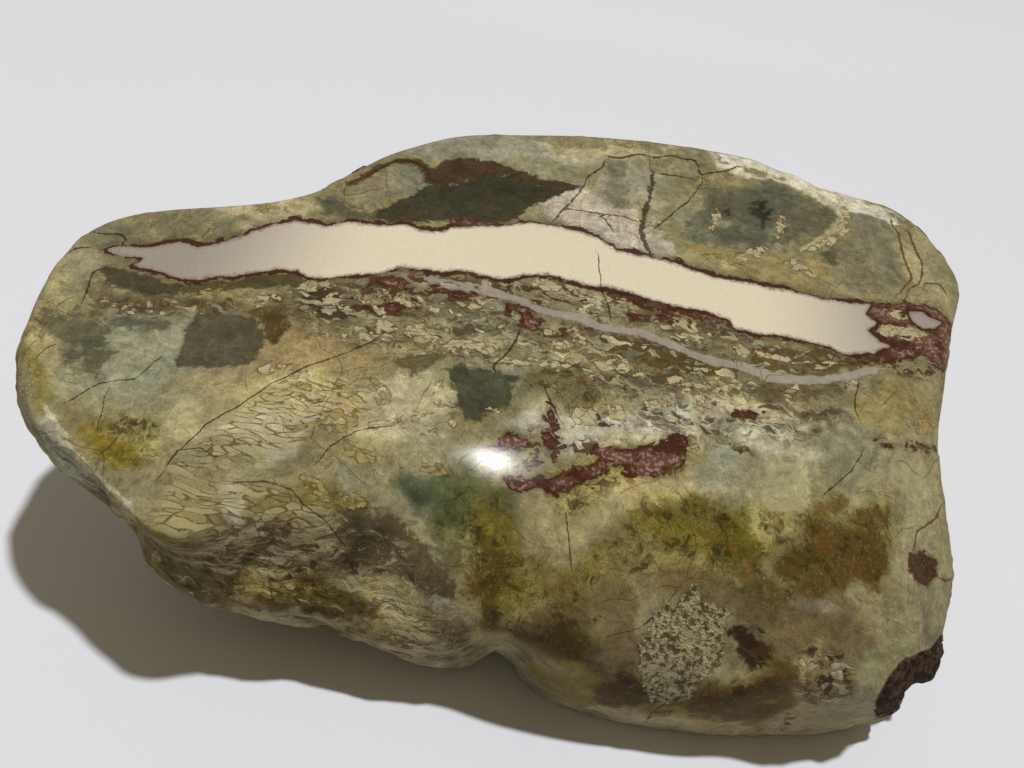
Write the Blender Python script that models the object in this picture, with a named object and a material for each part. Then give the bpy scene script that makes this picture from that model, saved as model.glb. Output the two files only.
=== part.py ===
"""Thunderegg: one nodule of green jasper and agate, cut across the top and polished.

The stone is one solid body. Its side is a loft through four outlines (foot, low, belly and
rim). Its top is a flat cut that slopes down towards the front. The two meet in an edge that is
sharp along the left lip and well rounded along the front. Lumps, hollows and chips are added to
that skin, and the foot is flat, so that the stone stands by itself.

X runs along the stone, Y towards its back, Z up, with the origin on the foot plane.
"""
import math

import bmesh
import bpy
import numpy as np

MM = 0.001

# Driving dimensions, in millimetres and degrees.
HEART = (0.0, 15.0, 70.0)      # a point inside, from which the whole skin can be seen
CUT_HEIGHT = 118.0             # height of the polished cut above the origin
CUT_TILT = 22.8                # slope of the cut, rising towards the back
FOOT_ROUNDING = 1.0            # softness of the edge round the foot
SOFTENING = 2.5                # spread of the softening of each outline, in degrees
CELLS = (45, 20, 22)           # cells of the mesh along X, Y and Z
CORNERS = (-133.0, -14.0, 26.0, 178.0)   # azimuths of the mesh's four upright edges

# Outline of the cut: x, y. Its heights follow the slope of the cut.
RIM = [(194, 54), (182, 22), (166, -14), (132, -36), (87, -48), (50, -56), (22, -60), (-6, -63),
       (-32, -73), (-53, -84), (-73, -95), (-87, -105), (-98, -108), (-110, -103), (-121, -96),
       (-137, -87), (-156, -78), (-170, -64), (-179, -46), (-185, -25), (-187, -8), (-185, 7),
       (-177, 18), (-154, 29), (-130, 38), (-111, 49), (-96, 66), (-80, 91), (-58, 108), (0, 129),
       (42, 136), (85, 138), (130, 134), (167, 124), (185, 109), (196, 89), (201, 70)]

# Outlines of the side below it: x, y, height.
BELLY = [(186, 52, 106), (186, 0, 74), (187, -36, 60), (166, -72, 50), (120, -90, 48), (70, -96, 46),
         (25, -96, 46), (-10, -92, 50), (-50, -91, 50), (-85, -98, 52), (-105, -92, 54),
         (-128, -76, 50), (-149, -68, 54), (-170, -60, 66), (-181, -32, 76), (-178, 0, 87),
         (-166, 20, 94), (-130, 42, 98), (-98, 72, 100), (-63, 114, 104), (0, 136, 108),
         (60, 143, 108), (130, 139, 106), (176, 116, 106), (190, 84, 112)]
LOW = [(186, 50, 40), (190, 0, 30), (180, -40, 26), (162, -72, 22), (120, -87, 22), (70, -94, 22),
       (38, -88, 20), (16, -76, 18), (-3, -88, 18), (-23, -88, 18), (-47, -85, 20), (-80, -86, 22),
       (-106, -83, 26), (-120, -74, 30), (-132, -50, 34), (-138, -10, 38), (-126, 20, 42),
       (-86, 52, 44), (-50, 90, 44), (0, 114, 44), (60, 122, 44), (130, 112, 42), (174, 85, 40)]
FOOT = [(160, 40, 0), (168, 0, 0), (168, -46, 0), (155, -68, 0), (120, -78, 0), (80, -84, 0),
        (45, -82, 0), (29, -77, 0), (16, -62, 0), (0, -74, 0), (-24, -70, 0), (-50, -60, 0),
        (-78, -48, 0), (-92, -20, 0), (-90, 10, 0), (-70, 45, 0), (-36, 74, 0), (10, 90, 0),
        (70, 94, 0), (130, 80, 0)]

# Softness of the edge between cut and side: azimuth in degrees, millimetres.
EDGE = [(-175, 6), (-150, 5), (-135, 6), (-110, 14), (-80, 25), (-45, 30), (-15, 20), (10, 10),
        (40, 8), (90, 10), (140, 9)]

# Lumps (height above zero) and hollows (below zero): x, y, z, reach, height.
RELIEF = [
    (-35, 68, 147, 30, -5), (-78, 62, 144, 14, 2), (-44, 100, 158, 20, 1),    # dish and rolled rim
    (13, -83, 31, 13, -6), (9, -79, 64, 16, -4), (48, -91, 23, 20, 2),        # valley between lobes
    (-43, -90, 38, 11, 4), (-44, -88, 24, 10, -3), (-20, -88, 33, 12, 3),     # ledge over the foot
    (-58, -93, 58, 13, -3), (-80, -97, 62, 12, -3), (-30, -84, 62, 13, -3),   # broken face, left
    (-92, -95, 42, 11, 4), (-66, -92, 40, 9, 3), (-112, -87, 46, 12, 4), (-121, -88, 60, 8, -4),
    (97, -89, 54, 9, -4), (89, -90, 46, 7, -2), (131, -88, 44, 11, 4),        # pits and knobs, front
    (76, -92, 52, 18, -2), (110, -90, 34, 11, -2), (150, -80, 40, 12, 3),
    (180, -48, 47, 8, -3), (184, -50, 26, 12, 13), (168, -68, 12, 11, 7),     # dark knob, right foot
    (165, -50, 72, 8, -3), (172, -4, 108, 12, -3), (156, -25, 102, 10, 2), (107, -46, 91, 13, 2),
    (140, 134, 172, 12, -6), (160, 130, 170, 11, -5), (118, 139, 173, 10, -3),  # chipped back edge
    (178, 110, 60, 20, 6), (120, 134, 70, 26, 7), (60, 140, 84, 20, 5), (20, 126, 50, 22, -5),
    (80, 120, 30, 24, 5), (-20, 118, 72, 20, 6), (-70, 84, 70, 18, 5), (-96, 50, 62, 18, -4),
    (-140, 16, 62, 16, 4), (-160, -12, 62, 14, 4), (-150, -50, 48, 14, 4), (186, 24, 60, 16, -4),
    (176, 60, 80, 14, 4), (192, -10, 46, 16, 3)]

STONE_GREEN = (0.33, 0.34, 0.22, 1.0)


def cut_height(y):
    """Height of the cut at depth y: a plane that rises towards the back."""
    return CUT_HEIGHT + math.tan(math.radians(CUT_TILT)) * y


def hermite(share, start, end, start_slope, end_slope):
    """Cubic from start to end with the given slopes, at a share from 0 to 1."""
    square, cube = share ** 2, share ** 3
    return ((2 * cube - 3 * square + 1) * start + (cube - 2 * square + share) * start_slope
            + (3 * square - 2 * cube) * end + (cube - square) * end_slope)


def closed_curve(knots, values):
    """Values at the azimuths ROUND: a closed cubic through the knots, then softened."""
    order = np.argsort(knots)
    knots, values = knots[order], values[order]
    knots = np.concatenate([knots[-3:] - 2 * np.pi, knots, knots[:3] + 2 * np.pi])
    values = np.concatenate([values[-3:], values, values[:3]])
    gap = np.diff(knots)
    rise = np.diff(values) / gap
    slope = np.zeros_like(values)
    slope[1:-1] = (rise[:-1] * gap[1:] + rise[1:] * gap[:-1]) / (gap[:-1] + gap[1:])
    left = np.clip(np.searchsorted(knots, ROUND) - 1, 1, len(knots) - 3)
    share = (ROUND - knots[left]) / gap[left]
    curve = hermite(share, values[left], values[left + 1],
                    gap[left] * slope[left], gap[left] * slope[left + 1])
    span = len(ROUND) // 36
    weight = np.exp(-(np.arange(-span, span + 1) * 10 / span / SOFTENING) ** 2)
    wrapped = np.concatenate([curve[-span:], curve, curve[:span]])
    return np.convolve(wrapped, weight / weight.sum(), "valid")


def outline_curves(outline):
    """Two closed curves of an outline: its reach from the line through HEART, and its height."""
    points = np.array(outline, float)
    across, back = points[:, 0] - HEART[0], points[:, 1] - HEART[1]
    knots = np.arctan2(back, across)
    height = points[:, 2] if points.shape[1] == 3 else cut_height(points[:, 1])
    return closed_curve(knots, np.hypot(across, back)), closed_curve(knots, height)


def read(curve, azimuth):
    """Value of a closed curve at each azimuth."""
    return np.interp(azimuth, ROUND, curve, period=2 * np.pi)


ROUND = np.radians(np.arange(-180, 180, 0.25))
LEVELS = [outline_curves(outline) for outline in (FOOT, LOW, BELLY, RIM)]
EDGE_CURVE = closed_curve(np.radians([place for place, _ in EDGE]), np.array([mm for _, mm in EDGE], float))


def meridian(azimuth):
    """Heights and reaches of the side from foot to rim, with the softness of its edge."""
    reaches = [read(reach, azimuth) for reach, _ in LEVELS]
    heights = [read(height, azimuth) for _, height in LEVELS[:3]]
    heights.append(cut_height(HEART[1] + reaches[3] * np.sin(azimuth)))
    return heights, reaches, read(EDGE_CURVE, azimuth)


def side_reach(z, heights, reaches):
    """Reach of the side at height z: a cubic through the four outlines, straight beyond them."""
    gap = [heights[k + 1] - heights[k] for k in range(3)]
    rise = [(reaches[k + 1] - reaches[k]) / gap[k] for k in range(3)]
    slope = [rise[0]]
    for k in (1, 2):
        slope.append((rise[k - 1] * gap[k] + rise[k] * gap[k - 1]) / (gap[k - 1] + gap[k]))
    slope.append(rise[2])
    result = reaches[0] + (z - heights[0]) * slope[0]
    for k in range(3):
        share = np.clip((z - heights[k]) / gap[k], 0, 1)
        span = hermite(share, reaches[k], reaches[k + 1], gap[k] * slope[k], gap[k] * slope[k + 1])
        result = np.where(z >= heights[k], span, result)
    above = reaches[3] + (z - heights[3]) * np.minimum(slope[3], 0)
    return np.where(z > heights[3], above, result)


def soft_max(a, b, softness):
    """The larger of a and b, with the step between them rounded off."""
    share = np.clip(0.5 + 0.5 * (a - b) / softness, 0, 1)
    return b + (a - b) * share + softness * share * (1 - share)


def outside(x, y, z, line):
    """Below zero inside the stone: the soft largest of side, cut and foot, less the relief."""
    heights, reaches, edge = line
    side = np.hypot(x - HEART[0], y - HEART[1]) - side_reach(z, heights, reaches)
    cut = (z - cut_height(y)) * math.cos(math.radians(CUT_TILT))
    value = soft_max(side, cut, edge)
    for lump_x, lump_y, lump_z, size, height in RELIEF:
        square = (x - lump_x) ** 2 + (y - lump_y) ** 2 + (z - lump_z) ** 2
        value = value - height * np.exp(-square / size ** 2)
    return soft_max(value, -z, FOOT_ROUNDING)


def skin(aim):
    """Points of the skin on the rays from HEART through the places aimed at, by halving."""
    ray = aim - HEART
    ray = ray / np.linalg.norm(ray, axis=1)[:, None]
    line = meridian(np.arctan2(ray[:, 1], ray[:, 0]))
    near, far = np.full(len(ray), 5.0), np.full(len(ray), 400.0)
    for _ in range(34):
        middle = (near + far) / 2
        x, y, z = (HEART[axis] + ray[:, axis] * middle for axis in range(3))
        out = outside(x, y, z, line) > 0
        near, far = np.where(out, near, middle), np.where(out, middle, far)
    points = HEART + ray * middle[:, None]
    points[:, 2] = np.where(points[:, 2] < 0.5, 0.0, points[:, 2])
    return points


def walk(start, end, share):
    """Azimuths that divide the rim evenly by length from start to end (degrees)."""
    azimuth = np.radians(np.linspace(start, end, 400))
    size = read(LEVELS[3][0], azimuth)
    step = np.hypot(np.diff(size * np.cos(azimuth)), np.diff(size * np.sin(azimuth)))
    length = np.concatenate([[0], np.cumsum(step)])
    return np.interp(share * length[-1], length, azimuth)


def border(u, v):
    """Azimuths at which the four walls of the box stand, for shares u along and v across."""
    front_left, front_right, back_right, back_left = CORNERS
    front = walk(front_left, front_right, u)
    right = walk(front_right, back_right, v)
    back = walk(back_left, back_right, u)
    left = walk(front_left, back_left - 360, v)
    return front, right, back, left


def plan(level, azimuth):
    """Plan position (x, y) of an outline at each azimuth."""
    size = read(LEVELS[level][0], azimuth)
    return np.stack([HEART[0] + size * np.cos(azimuth), HEART[1] + size * np.sin(azimuth)])


def sheet(level, u, v):
    """Plan positions inside an outline: the blend of its four stretches (a Coons patch)."""
    front, right, back, left = (plan(level, azimuth) for azimuth in border(u, v))
    corner = [plan(level, np.radians(np.full(1, azimuth))) for azimuth in CORNERS]
    blend = (1 - v) * front + v * back + (1 - u) * left + u * right
    return blend - ((1 - u) * (1 - v) * corner[0] + u * (1 - v) * corner[1]
                    + u * v * corner[2] + (1 - u) * v * corner[3])


def aim_points(box):
    """Where the ray to each point of the box goes: the cut, the side or the foot."""
    u, v, w = ((box[:, axis] + 1) / 2 for axis in range(3))
    front, right, back, left = border(u, v)
    azimuth = np.select([v < 1e-6, u > 1 - 1e-6, v > 1 - 1e-6], [front, right, back], left)
    heights, reaches, _ = meridian(azimuth)
    z = heights[3] * w
    size = side_reach(z, heights, reaches)
    aim = np.stack([HEART[0] + size * np.cos(azimuth), HEART[1] + size * np.sin(azimuth), z], 1)
    top, bottom = w > 1 - 1e-6, w < 1e-6
    aim[top, :2] = sheet(3, u[top], v[top]).T
    aim[top, 2] = cut_height(aim[top, 1])
    aim[bottom, :2] = sheet(0, u[bottom], v[bottom]).T
    aim[bottom, 2] = 0
    return aim


def cut_box(bm):
    """A cube from -1 to 1 whose edges along X, Y and Z are cut into CELLS."""
    bmesh.ops.create_cube(bm, size=2)
    for axis, cells in enumerate(CELLS):
        along = [edge for edge in bm.edges
                 if abs(edge.verts[0].co[axis] - edge.verts[1].co[axis]) > 1e-6]
        bmesh.ops.subdivide_edges(bm, edges=along, cuts=cells - 1, use_grid_fill=True)


def polished_stone():
    """Principled material: grey-green stone with a polish."""
    material = bpy.data.materials.new("polished_jasper")
    material.use_nodes = True
    shader = material.node_tree.nodes["Principled BSDF"]
    shader.inputs["Base Color"].default_value = STONE_GREEN
    shader.inputs["Roughness"].default_value = 0.25
    shader.inputs["Metallic"].default_value = 0.0
    return material


def thunderegg():
    """The stone, made from a cut box whose points are sent out to the skin."""
    bm = bmesh.new()
    cut_box(bm)
    box = np.array([vert.co for vert in bm.verts])
    points = skin(aim_points(box)) * MM
    for vert, point in zip(bm.verts, points):
        vert.co = point
    bmesh.ops.recalc_face_normals(bm, faces=bm.faces)
    mesh = bpy.data.meshes.new("thunderegg")
    bm.to_mesh(mesh)
    bm.free()
    mesh.shade_smooth()
    mesh.materials.append(polished_stone())
    return bpy.data.objects.new("thunderegg", mesh)


def main():
    for old in list(bpy.data.objects):
        bpy.data.objects.remove(old, do_unlink=True)
    collection = bpy.data.collections.new("thunderegg")
    bpy.context.scene.collection.children.link(collection)
    collection.objects.link(thunderegg())


main()
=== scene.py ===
"""Looks of the thunderegg: a polished nodule of green jasper, agate and chalcedony.

Laid out as an add-on and run as a script. The stone's skin is worked out with numpy from the
same outlines as the solid, on a fine grid. Its markings, with a few painted highlights, a painted
reflection and painted shade, are laid on that skin as attributes (distances to seams, veins and
cracks), and the material turns them into bands, fragments and lines with its own noise.

Lengths are in millimetres until a mesh is made, which is in metres.
"""
import math
from functools import partial

import bpy
import numpy as np
from mathutils import Matrix


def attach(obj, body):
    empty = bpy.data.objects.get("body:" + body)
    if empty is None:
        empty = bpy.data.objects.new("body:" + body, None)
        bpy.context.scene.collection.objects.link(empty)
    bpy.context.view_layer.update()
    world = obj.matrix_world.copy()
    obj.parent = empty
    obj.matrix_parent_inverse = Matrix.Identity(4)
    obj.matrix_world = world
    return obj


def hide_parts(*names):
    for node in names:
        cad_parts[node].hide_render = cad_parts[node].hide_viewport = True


bl_info = {
    "name": "Thunderegg",
    "version": (1, 0, 0),
    "blender": (4, 5, 0),
    "location": "3D View > Sidebar > Thunderegg",
    "description": "Builds a polished thunderegg with its markings, floor, light and camera",
    "category": "Add Mesh",
}

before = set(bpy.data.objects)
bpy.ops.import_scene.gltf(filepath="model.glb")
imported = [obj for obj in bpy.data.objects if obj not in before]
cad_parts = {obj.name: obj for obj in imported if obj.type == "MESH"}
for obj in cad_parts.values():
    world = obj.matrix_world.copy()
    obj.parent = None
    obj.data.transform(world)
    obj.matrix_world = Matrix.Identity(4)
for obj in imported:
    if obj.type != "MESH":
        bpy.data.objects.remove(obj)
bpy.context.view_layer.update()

MM = 0.001

# The stone's form, in millimetres and degrees

HEART = (0.0, 15.0, 70.0)      # a point inside, from which the whole skin can be seen
CUT_HEIGHT = 118.0             # height of the polished cut above the origin
CUT_TILT = 22.8                # slope of the cut, rising towards the back
FOOT_ROUNDING = 1.0            # softness of the edge round the foot
SOFTENING = 2.5                # spread of the softening of each outline, in degrees
CORNERS = (-133.0, -14.0, 26.0, 178.0)   # azimuths of the corners of the cut's grid
RAY_REACH = (5.0, 400.0)       # the skin is looked for between these distances from HEART
HALVINGS = 22                  # which bring it to under a thousandth of a millimetre
FOOT_SNAP = 0.5                # skin lower than this is laid flat on the floor
FOOT_ROWS = 5                  # rings of the grid under the foot

# Outline of the cut: x, y. Its heights follow the slope of the cut.
RIM = [
    (194, 54), (182, 22), (166, -14), (132, -36), (87, -48), (50, -56), (22, -60), (-6, -63), (-32, -73),
    (-53, -84), (-73, -95), (-87, -105), (-98, -108), (-110, -103), (-121, -96), (-137, -87), (-156, -78),
    (-170, -64), (-179, -46), (-185, -25), (-187, -8), (-185, 7), (-177, 18), (-154, 29), (-130, 38),
    (-111, 49), (-96, 66), (-80, 91), (-58, 108), (0, 129), (42, 136), (85, 138), (130, 134), (167, 124),
    (185, 109), (196, 89), (201, 70)]

# Outlines of the side below it: x, y, height.
BELLY = [
    (186, 52, 106), (186, 0, 74), (187, -36, 60), (166, -72, 50), (120, -90, 48), (70, -96, 46),
    (25, -96, 46), (-10, -92, 50), (-50, -91, 50), (-85, -98, 52), (-105, -92, 54), (-128, -76, 50),
    (-149, -68, 54), (-170, -60, 66), (-181, -32, 76), (-178, 0, 87), (-166, 20, 94), (-130, 42, 98),
    (-98, 72, 100), (-63, 114, 104), (0, 136, 108), (60, 143, 108), (130, 139, 106), (176, 116, 106),
    (190, 84, 112)]
LOW = [
    (186, 50, 40), (190, 0, 30), (180, -40, 26), (162, -72, 22), (120, -87, 22), (70, -94, 22),
    (38, -88, 20), (16, -76, 18), (-3, -88, 18), (-23, -88, 18), (-47, -85, 20), (-80, -86, 22),
    (-106, -83, 26), (-120, -74, 30), (-132, -50, 34), (-138, -10, 38), (-126, 20, 42), (-86, 52, 44),
    (-50, 90, 44), (0, 114, 44), (60, 122, 44), (130, 112, 42), (174, 85, 40)]
FOOT = [
    (160, 40, 0), (168, 0, 0), (168, -46, 0), (155, -68, 0), (120, -78, 0), (80, -84, 0), (45, -82, 0),
    (29, -77, 0), (16, -62, 0), (0, -74, 0), (-24, -70, 0), (-50, -60, 0), (-78, -48, 0), (-92, -20, 0),
    (-90, 10, 0), (-70, 45, 0), (-36, 74, 0), (10, 90, 0), (70, 94, 0), (130, 80, 0)]

# Softness of the edge between cut and side: azimuth in degrees, millimetres.
EDGE = [
    (-175, 6), (-150, 5), (-135, 6), (-110, 14), (-80, 25), (-45, 30), (-15, 20), (10, 10), (40, 8),
    (90, 10), (140, 9)]

# Lumps (height above zero) and hollows (below zero): x, y, z, reach, height.
RELIEF = [
    (-35, 68, 147, 30, -5), (-78, 62, 144, 14, 2), (-44, 100, 158, 20, 1),    # dish and rolled rim
    (13, -83, 31, 13, -6), (9, -79, 64, 16, -4), (48, -91, 23, 20, 2),        # valley between lobes
    (-43, -90, 38, 11, 4), (-44, -88, 24, 10, -3), (-20, -88, 33, 12, 3),     # ledge over the foot
    (-58, -93, 58, 13, -3), (-80, -97, 62, 12, -3), (-30, -84, 62, 13, -3),   # broken face, left
    (-92, -95, 42, 11, 4), (-66, -92, 40, 9, 3), (-112, -87, 46, 12, 4), (-121, -88, 60, 8, -4),
    (97, -89, 54, 9, -4), (89, -90, 46, 7, -2), (131, -88, 44, 11, 4),        # pits and knobs, front
    (76, -92, 52, 18, -2), (110, -90, 34, 11, -2), (150, -80, 40, 12, 3),
    (180, -48, 47, 8, -3), (184, -50, 26, 12, 13), (168, -68, 12, 11, 7),     # dark knob, right foot
    (165, -50, 72, 8, -3), (172, -4, 108, 12, -3), (156, -25, 102, 10, 2), (107, -46, 91, 13, 2),
    (140, 134, 172, 12, -6), (160, 130, 170, 11, -5), (118, 139, 173, 10, -3),  # chipped back edge
    (178, 110, 60, 20, 6), (120, 134, 70, 26, 7), (60, 140, 84, 20, 5), (20, 126, 50, 22, -5),
    (80, 120, 30, 24, 5), (-20, 118, 72, 20, 6), (-70, 84, 70, 18, 5), (-96, 50, 62, 18, -4),
    (-140, 16, 62, 16, 4), (-160, -12, 62, 14, 4), (-150, -50, 48, 14, 4), (186, 24, 60, 16, -4),
    (176, 60, 80, 14, 4), (192, -10, 46, 16, 3)]

# Where the photograph was taken from, in millimetres, degrees and pixels

IMAGE_WIDTH, IMAGE_HEIGHT = 1024, 768
FOCAL_PIXELS = 760.0
CAMERA_AT = (0.0, -279.9, 245.1)
CAMERA_PITCH = 29.0            # below the level
CAMERA_ROLL = 10.5             # the image's up leans this far to the left of upright
SENSOR_WIDTH = 36.0

# The floor lies this far under the foot. The overhead lamp shines along LAMP_AIM.
FLOOR_GAP = 0.2
LAMP_AIM = (-0.21, 0.02, -1.0)
LAMP_COLOUR = (0.95, 0.97, 1.0)
FILL_COLOUR = (1.0, 0.87, 0.6)

# Small lamps that make the glint on the lip: where they hang, and where each one is aimed (x, y,
# z), the angle of its cone in degrees and its share of the strength.
GLINT_LAMP = (76.0, -158.0, 360.0)
GLINT_LAMP_RADIUS = 5.0
GLINTS = [
    (-2, -57, 90, 2.9, 1.15), (5, -56.5, 91, 2.4, 0.7), (11.5, -55.6, 92.5, 2.4, 0.35),
    (-11, -56.1, 91.4, 2.4, 0.35)]

# Markings, as places in the photograph's pixels

OUT_OF_SIGHT = 12.0            # millimetres that a marking loses where the photograph doesn't show the skin
NO_CRACK = 40.0                # further than any crack reaches
LEAST_LOOSE = 5                # softness in pixels from which a patch wanders with the tints

# Cream band: its upper edge from left to right, then its lower edge back, and a tongue beyond it.
BAND = [
    [(104, 250), (121, 245), (152, 247), (178, 241), (197, 247), (217, 244), (249, 233), (271, 225),
     (297, 220), (312, 223), (325, 226), (346, 222), (377, 224), (407, 225), (422, 231), (443, 231),
     (453, 227), (479, 226), (504, 225), (530, 222), (555, 225), (581, 231), (601, 239), (616, 250),
     (639, 254), (657, 258), (675, 262), (690, 269), (716, 277), (743, 281), (769, 287), (791, 290),
     (814, 297), (842, 302), (872, 304), (866, 315), (878, 322), (868, 330), (880, 341), (893, 345),
     (872, 354), (842, 355), (830, 347), (805, 342), (782, 336), (755, 334), (732, 327), (729, 320),
     (702, 311), (683, 308), (662, 303), (639, 296), (621, 290), (596, 287), (570, 282), (547, 275),
     (524, 276), (504, 280), (484, 276), (466, 272), (443, 272), (422, 270), (402, 267), (376, 275),
     (351, 276), (325, 279), (308, 278), (297, 271), (282, 269), (256, 273), (234, 277), (212, 277),
     (199, 280), (184, 280), (169, 275), (152, 270), (130, 266), (144, 258), (120, 256)],
    [(909, 311), (922, 312), (940, 322), (936, 329), (922, 328), (912, 322)]]

# Oxblood seams beside the band, and the red patch below the middle of the cut.
SEAMS = [
    [(866, 303), (905, 303), (930, 305), (945, 316), (955, 325), (960, 338), (956, 352), (948, 370),
     (934, 364), (920, 354), (900, 352), (890, 356), (872, 352), (895, 344), (880, 338), (868, 330),
     (880, 322), (866, 316)],
    [(842, 352), (870, 356), (893, 351), (905, 347), (925, 356), (890, 362), (860, 362)],
    [(448, 221), (470, 218), (497, 221), (510, 225), (490, 228), (455, 229)],
    [(620, 292), (650, 296), (680, 302), (702, 308), (728, 318), (730, 326), (702, 322), (675, 313),
     (648, 308), (625, 301)],
    [(622, 312), (665, 317), (705, 322), (700, 326), (655, 321), (625, 316)],
    [(590, 283), (604, 287), (606, 292), (592, 291)],
    [(397, 266), (420, 268), (440, 271), (412, 273)],
    [(500, 275), (527, 273), (528, 281), (508, 282)],
    [(375, 279), (400, 277), (413, 283), (402, 292), (380, 288)],
    [(417, 288), (437, 285), (440, 291), (424, 294)],
    [(446, 292), (478, 291), (482, 297), (455, 299)],
    [(360, 306), (385, 304), (410, 307), (420, 310), (395, 311), (368, 311)],
    [(503, 302), (516, 305), (530, 312), (543, 326), (537, 333), (524, 328), (518, 318), (508, 311)],
    [(487, 446), (500, 437), (515, 431), (530, 440), (524, 447), (505, 450)],
    [(536, 428), (548, 430), (562, 437), (566, 446), (550, 448), (540, 440)],
    [(504, 479), (522, 477), (544, 474), (545, 485), (522, 489), (510, 487)],
    [(592, 444), (606, 447), (620, 449), (636, 449), (652, 443), (668, 438), (688, 434), (690, 446),
     (682, 462), (665, 473), (645, 477), (626, 474), (618, 466), (606, 467), (602, 475), (588, 483),
     (576, 484), (568, 494), (556, 498), (546, 490), (550, 480), (566, 476), (578, 470), (590, 464),
     (600, 458), (592, 452)],
    [(548, 400), (556, 412), (560, 428), (553, 434), (546, 420)],
    [(590, 405), (600, 414), (607, 428), (598, 422)],
    [(726, 414), (745, 411), (765, 413), (752, 417), (732, 418)],
    [(610, 424), (630, 425), (645, 424), (626, 428)],
    [(876, 441), (905, 442), (936, 446), (934, 451), (905, 449), (884, 445)]]

# Lavender-grey chalcedony vein: its middle line.
VEIN = [
    (425, 279), (453, 286), (479, 288), (506, 296), (530, 307), (555, 314), (581, 319), (604, 326),
    (638, 333), (676, 346), (702, 357), (727, 364), (753, 371), (773, 378), (804, 380), (830, 380),
    (855, 374), (881, 369)]

# Cracks and healed joints: half width in pixels, then the line. Branches stand apart from the
# cracks that they leave, so that both can be drawn where they meet.
GASH = (2.1, [(651, 166), (653, 184), (650, 196), (646, 210), (643, 224), (644, 240), (652, 256)])
CRACKS = [
    GASH,
    (0.8, [(608, 158), (600, 169), (586, 177), (583, 189), (575, 199), (566, 208), (552, 222)]),
    (0.6, [(392, 330), (361, 347), (332, 358), (297, 369), (269, 384), (238, 406), (208, 425), (186, 443),
     (158, 474)]),
    (0.5, [(60, 404), (95, 386), (113, 382), (134, 378), (150, 366), (170, 350)]),
    (0.5, [(32, 362), (45, 350), (62, 342)]),
    (1.1, [(526, 326), (512, 345), (502, 358), (494, 365), (495, 377)]),
    (1.1, [(888, 216), (897, 231), (900, 246), (906, 262), (912, 278), (897, 296)]),
    (0.7, [(860, 376), (855, 402), (860, 424)]),
    (0.9, [(112, 264), (92, 272), (89, 287), (78, 304)]),
    (0.8, [(88, 232), (100, 232), (118, 234), (126, 240), (118, 250)]),
    (0.6, [(818, 500), (836, 486), (853, 470), (864, 446)]),
    (1.0, [(945, 498), (935, 518), (918, 532), (912, 556)]),
    (0.9, [(932, 572), (945, 580), (958, 578)]),
    (0.6, [(228, 484), (262, 482), (290, 488), (302, 505), (325, 520), (350, 552)]),
    (0.9, [(350, 184), (372, 172), (394, 162), (412, 160), (426, 168), (432, 180), (446, 182)]),
    (0.6, [(596, 250), (602, 286), (607, 303), (614, 325)]),
    (0.6, [(541, 380), (548, 396), (556, 410), (566, 428)]),
    (0.5, [(600, 640), (640, 628), (662, 612)]),
    (0.8, [(640, 728), (652, 712), (676, 700), (700, 694)])]
BRANCHES = [
    (0.8, [(600, 158), (640, 155), (670, 157), (697, 161), (702, 176), (716, 173), (748, 164)]),
    (0.8, [(704, 172), (699, 187), (688, 201), (670, 215), (650, 232)]),
    (0.5, [(650, 172), (675, 175), (702, 181)]),
    (0.5, [(115, 381), (106, 395), (102, 414), (94, 436)]),
    (0.6, [(545, 226), (565, 210), (590, 213), (620, 216), (646, 224)]),
    (0.5, [(590, 212), (606, 222), (620, 236)]),
    (0.9, [(903, 226), (914, 246), (924, 266), (920, 282), (906, 292)]),
    (0.7, [(918, 281), (941, 284), (952, 302)]),
    (0.7, [(98, 246), (76, 248), (62, 256)]),
    (0.5, [(168, 452), (200, 447), (215, 458), (236, 454)]),
    (0.5, [(150, 486), (165, 470), (176, 448)]),
    (0.5, [(310, 470), (330, 446), (356, 432), (400, 424)]),
    (0.6, [(566, 504), (569, 540), (572, 580)]),
    (0.8, [(912, 290), (905, 300), (912, 308)])]

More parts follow.
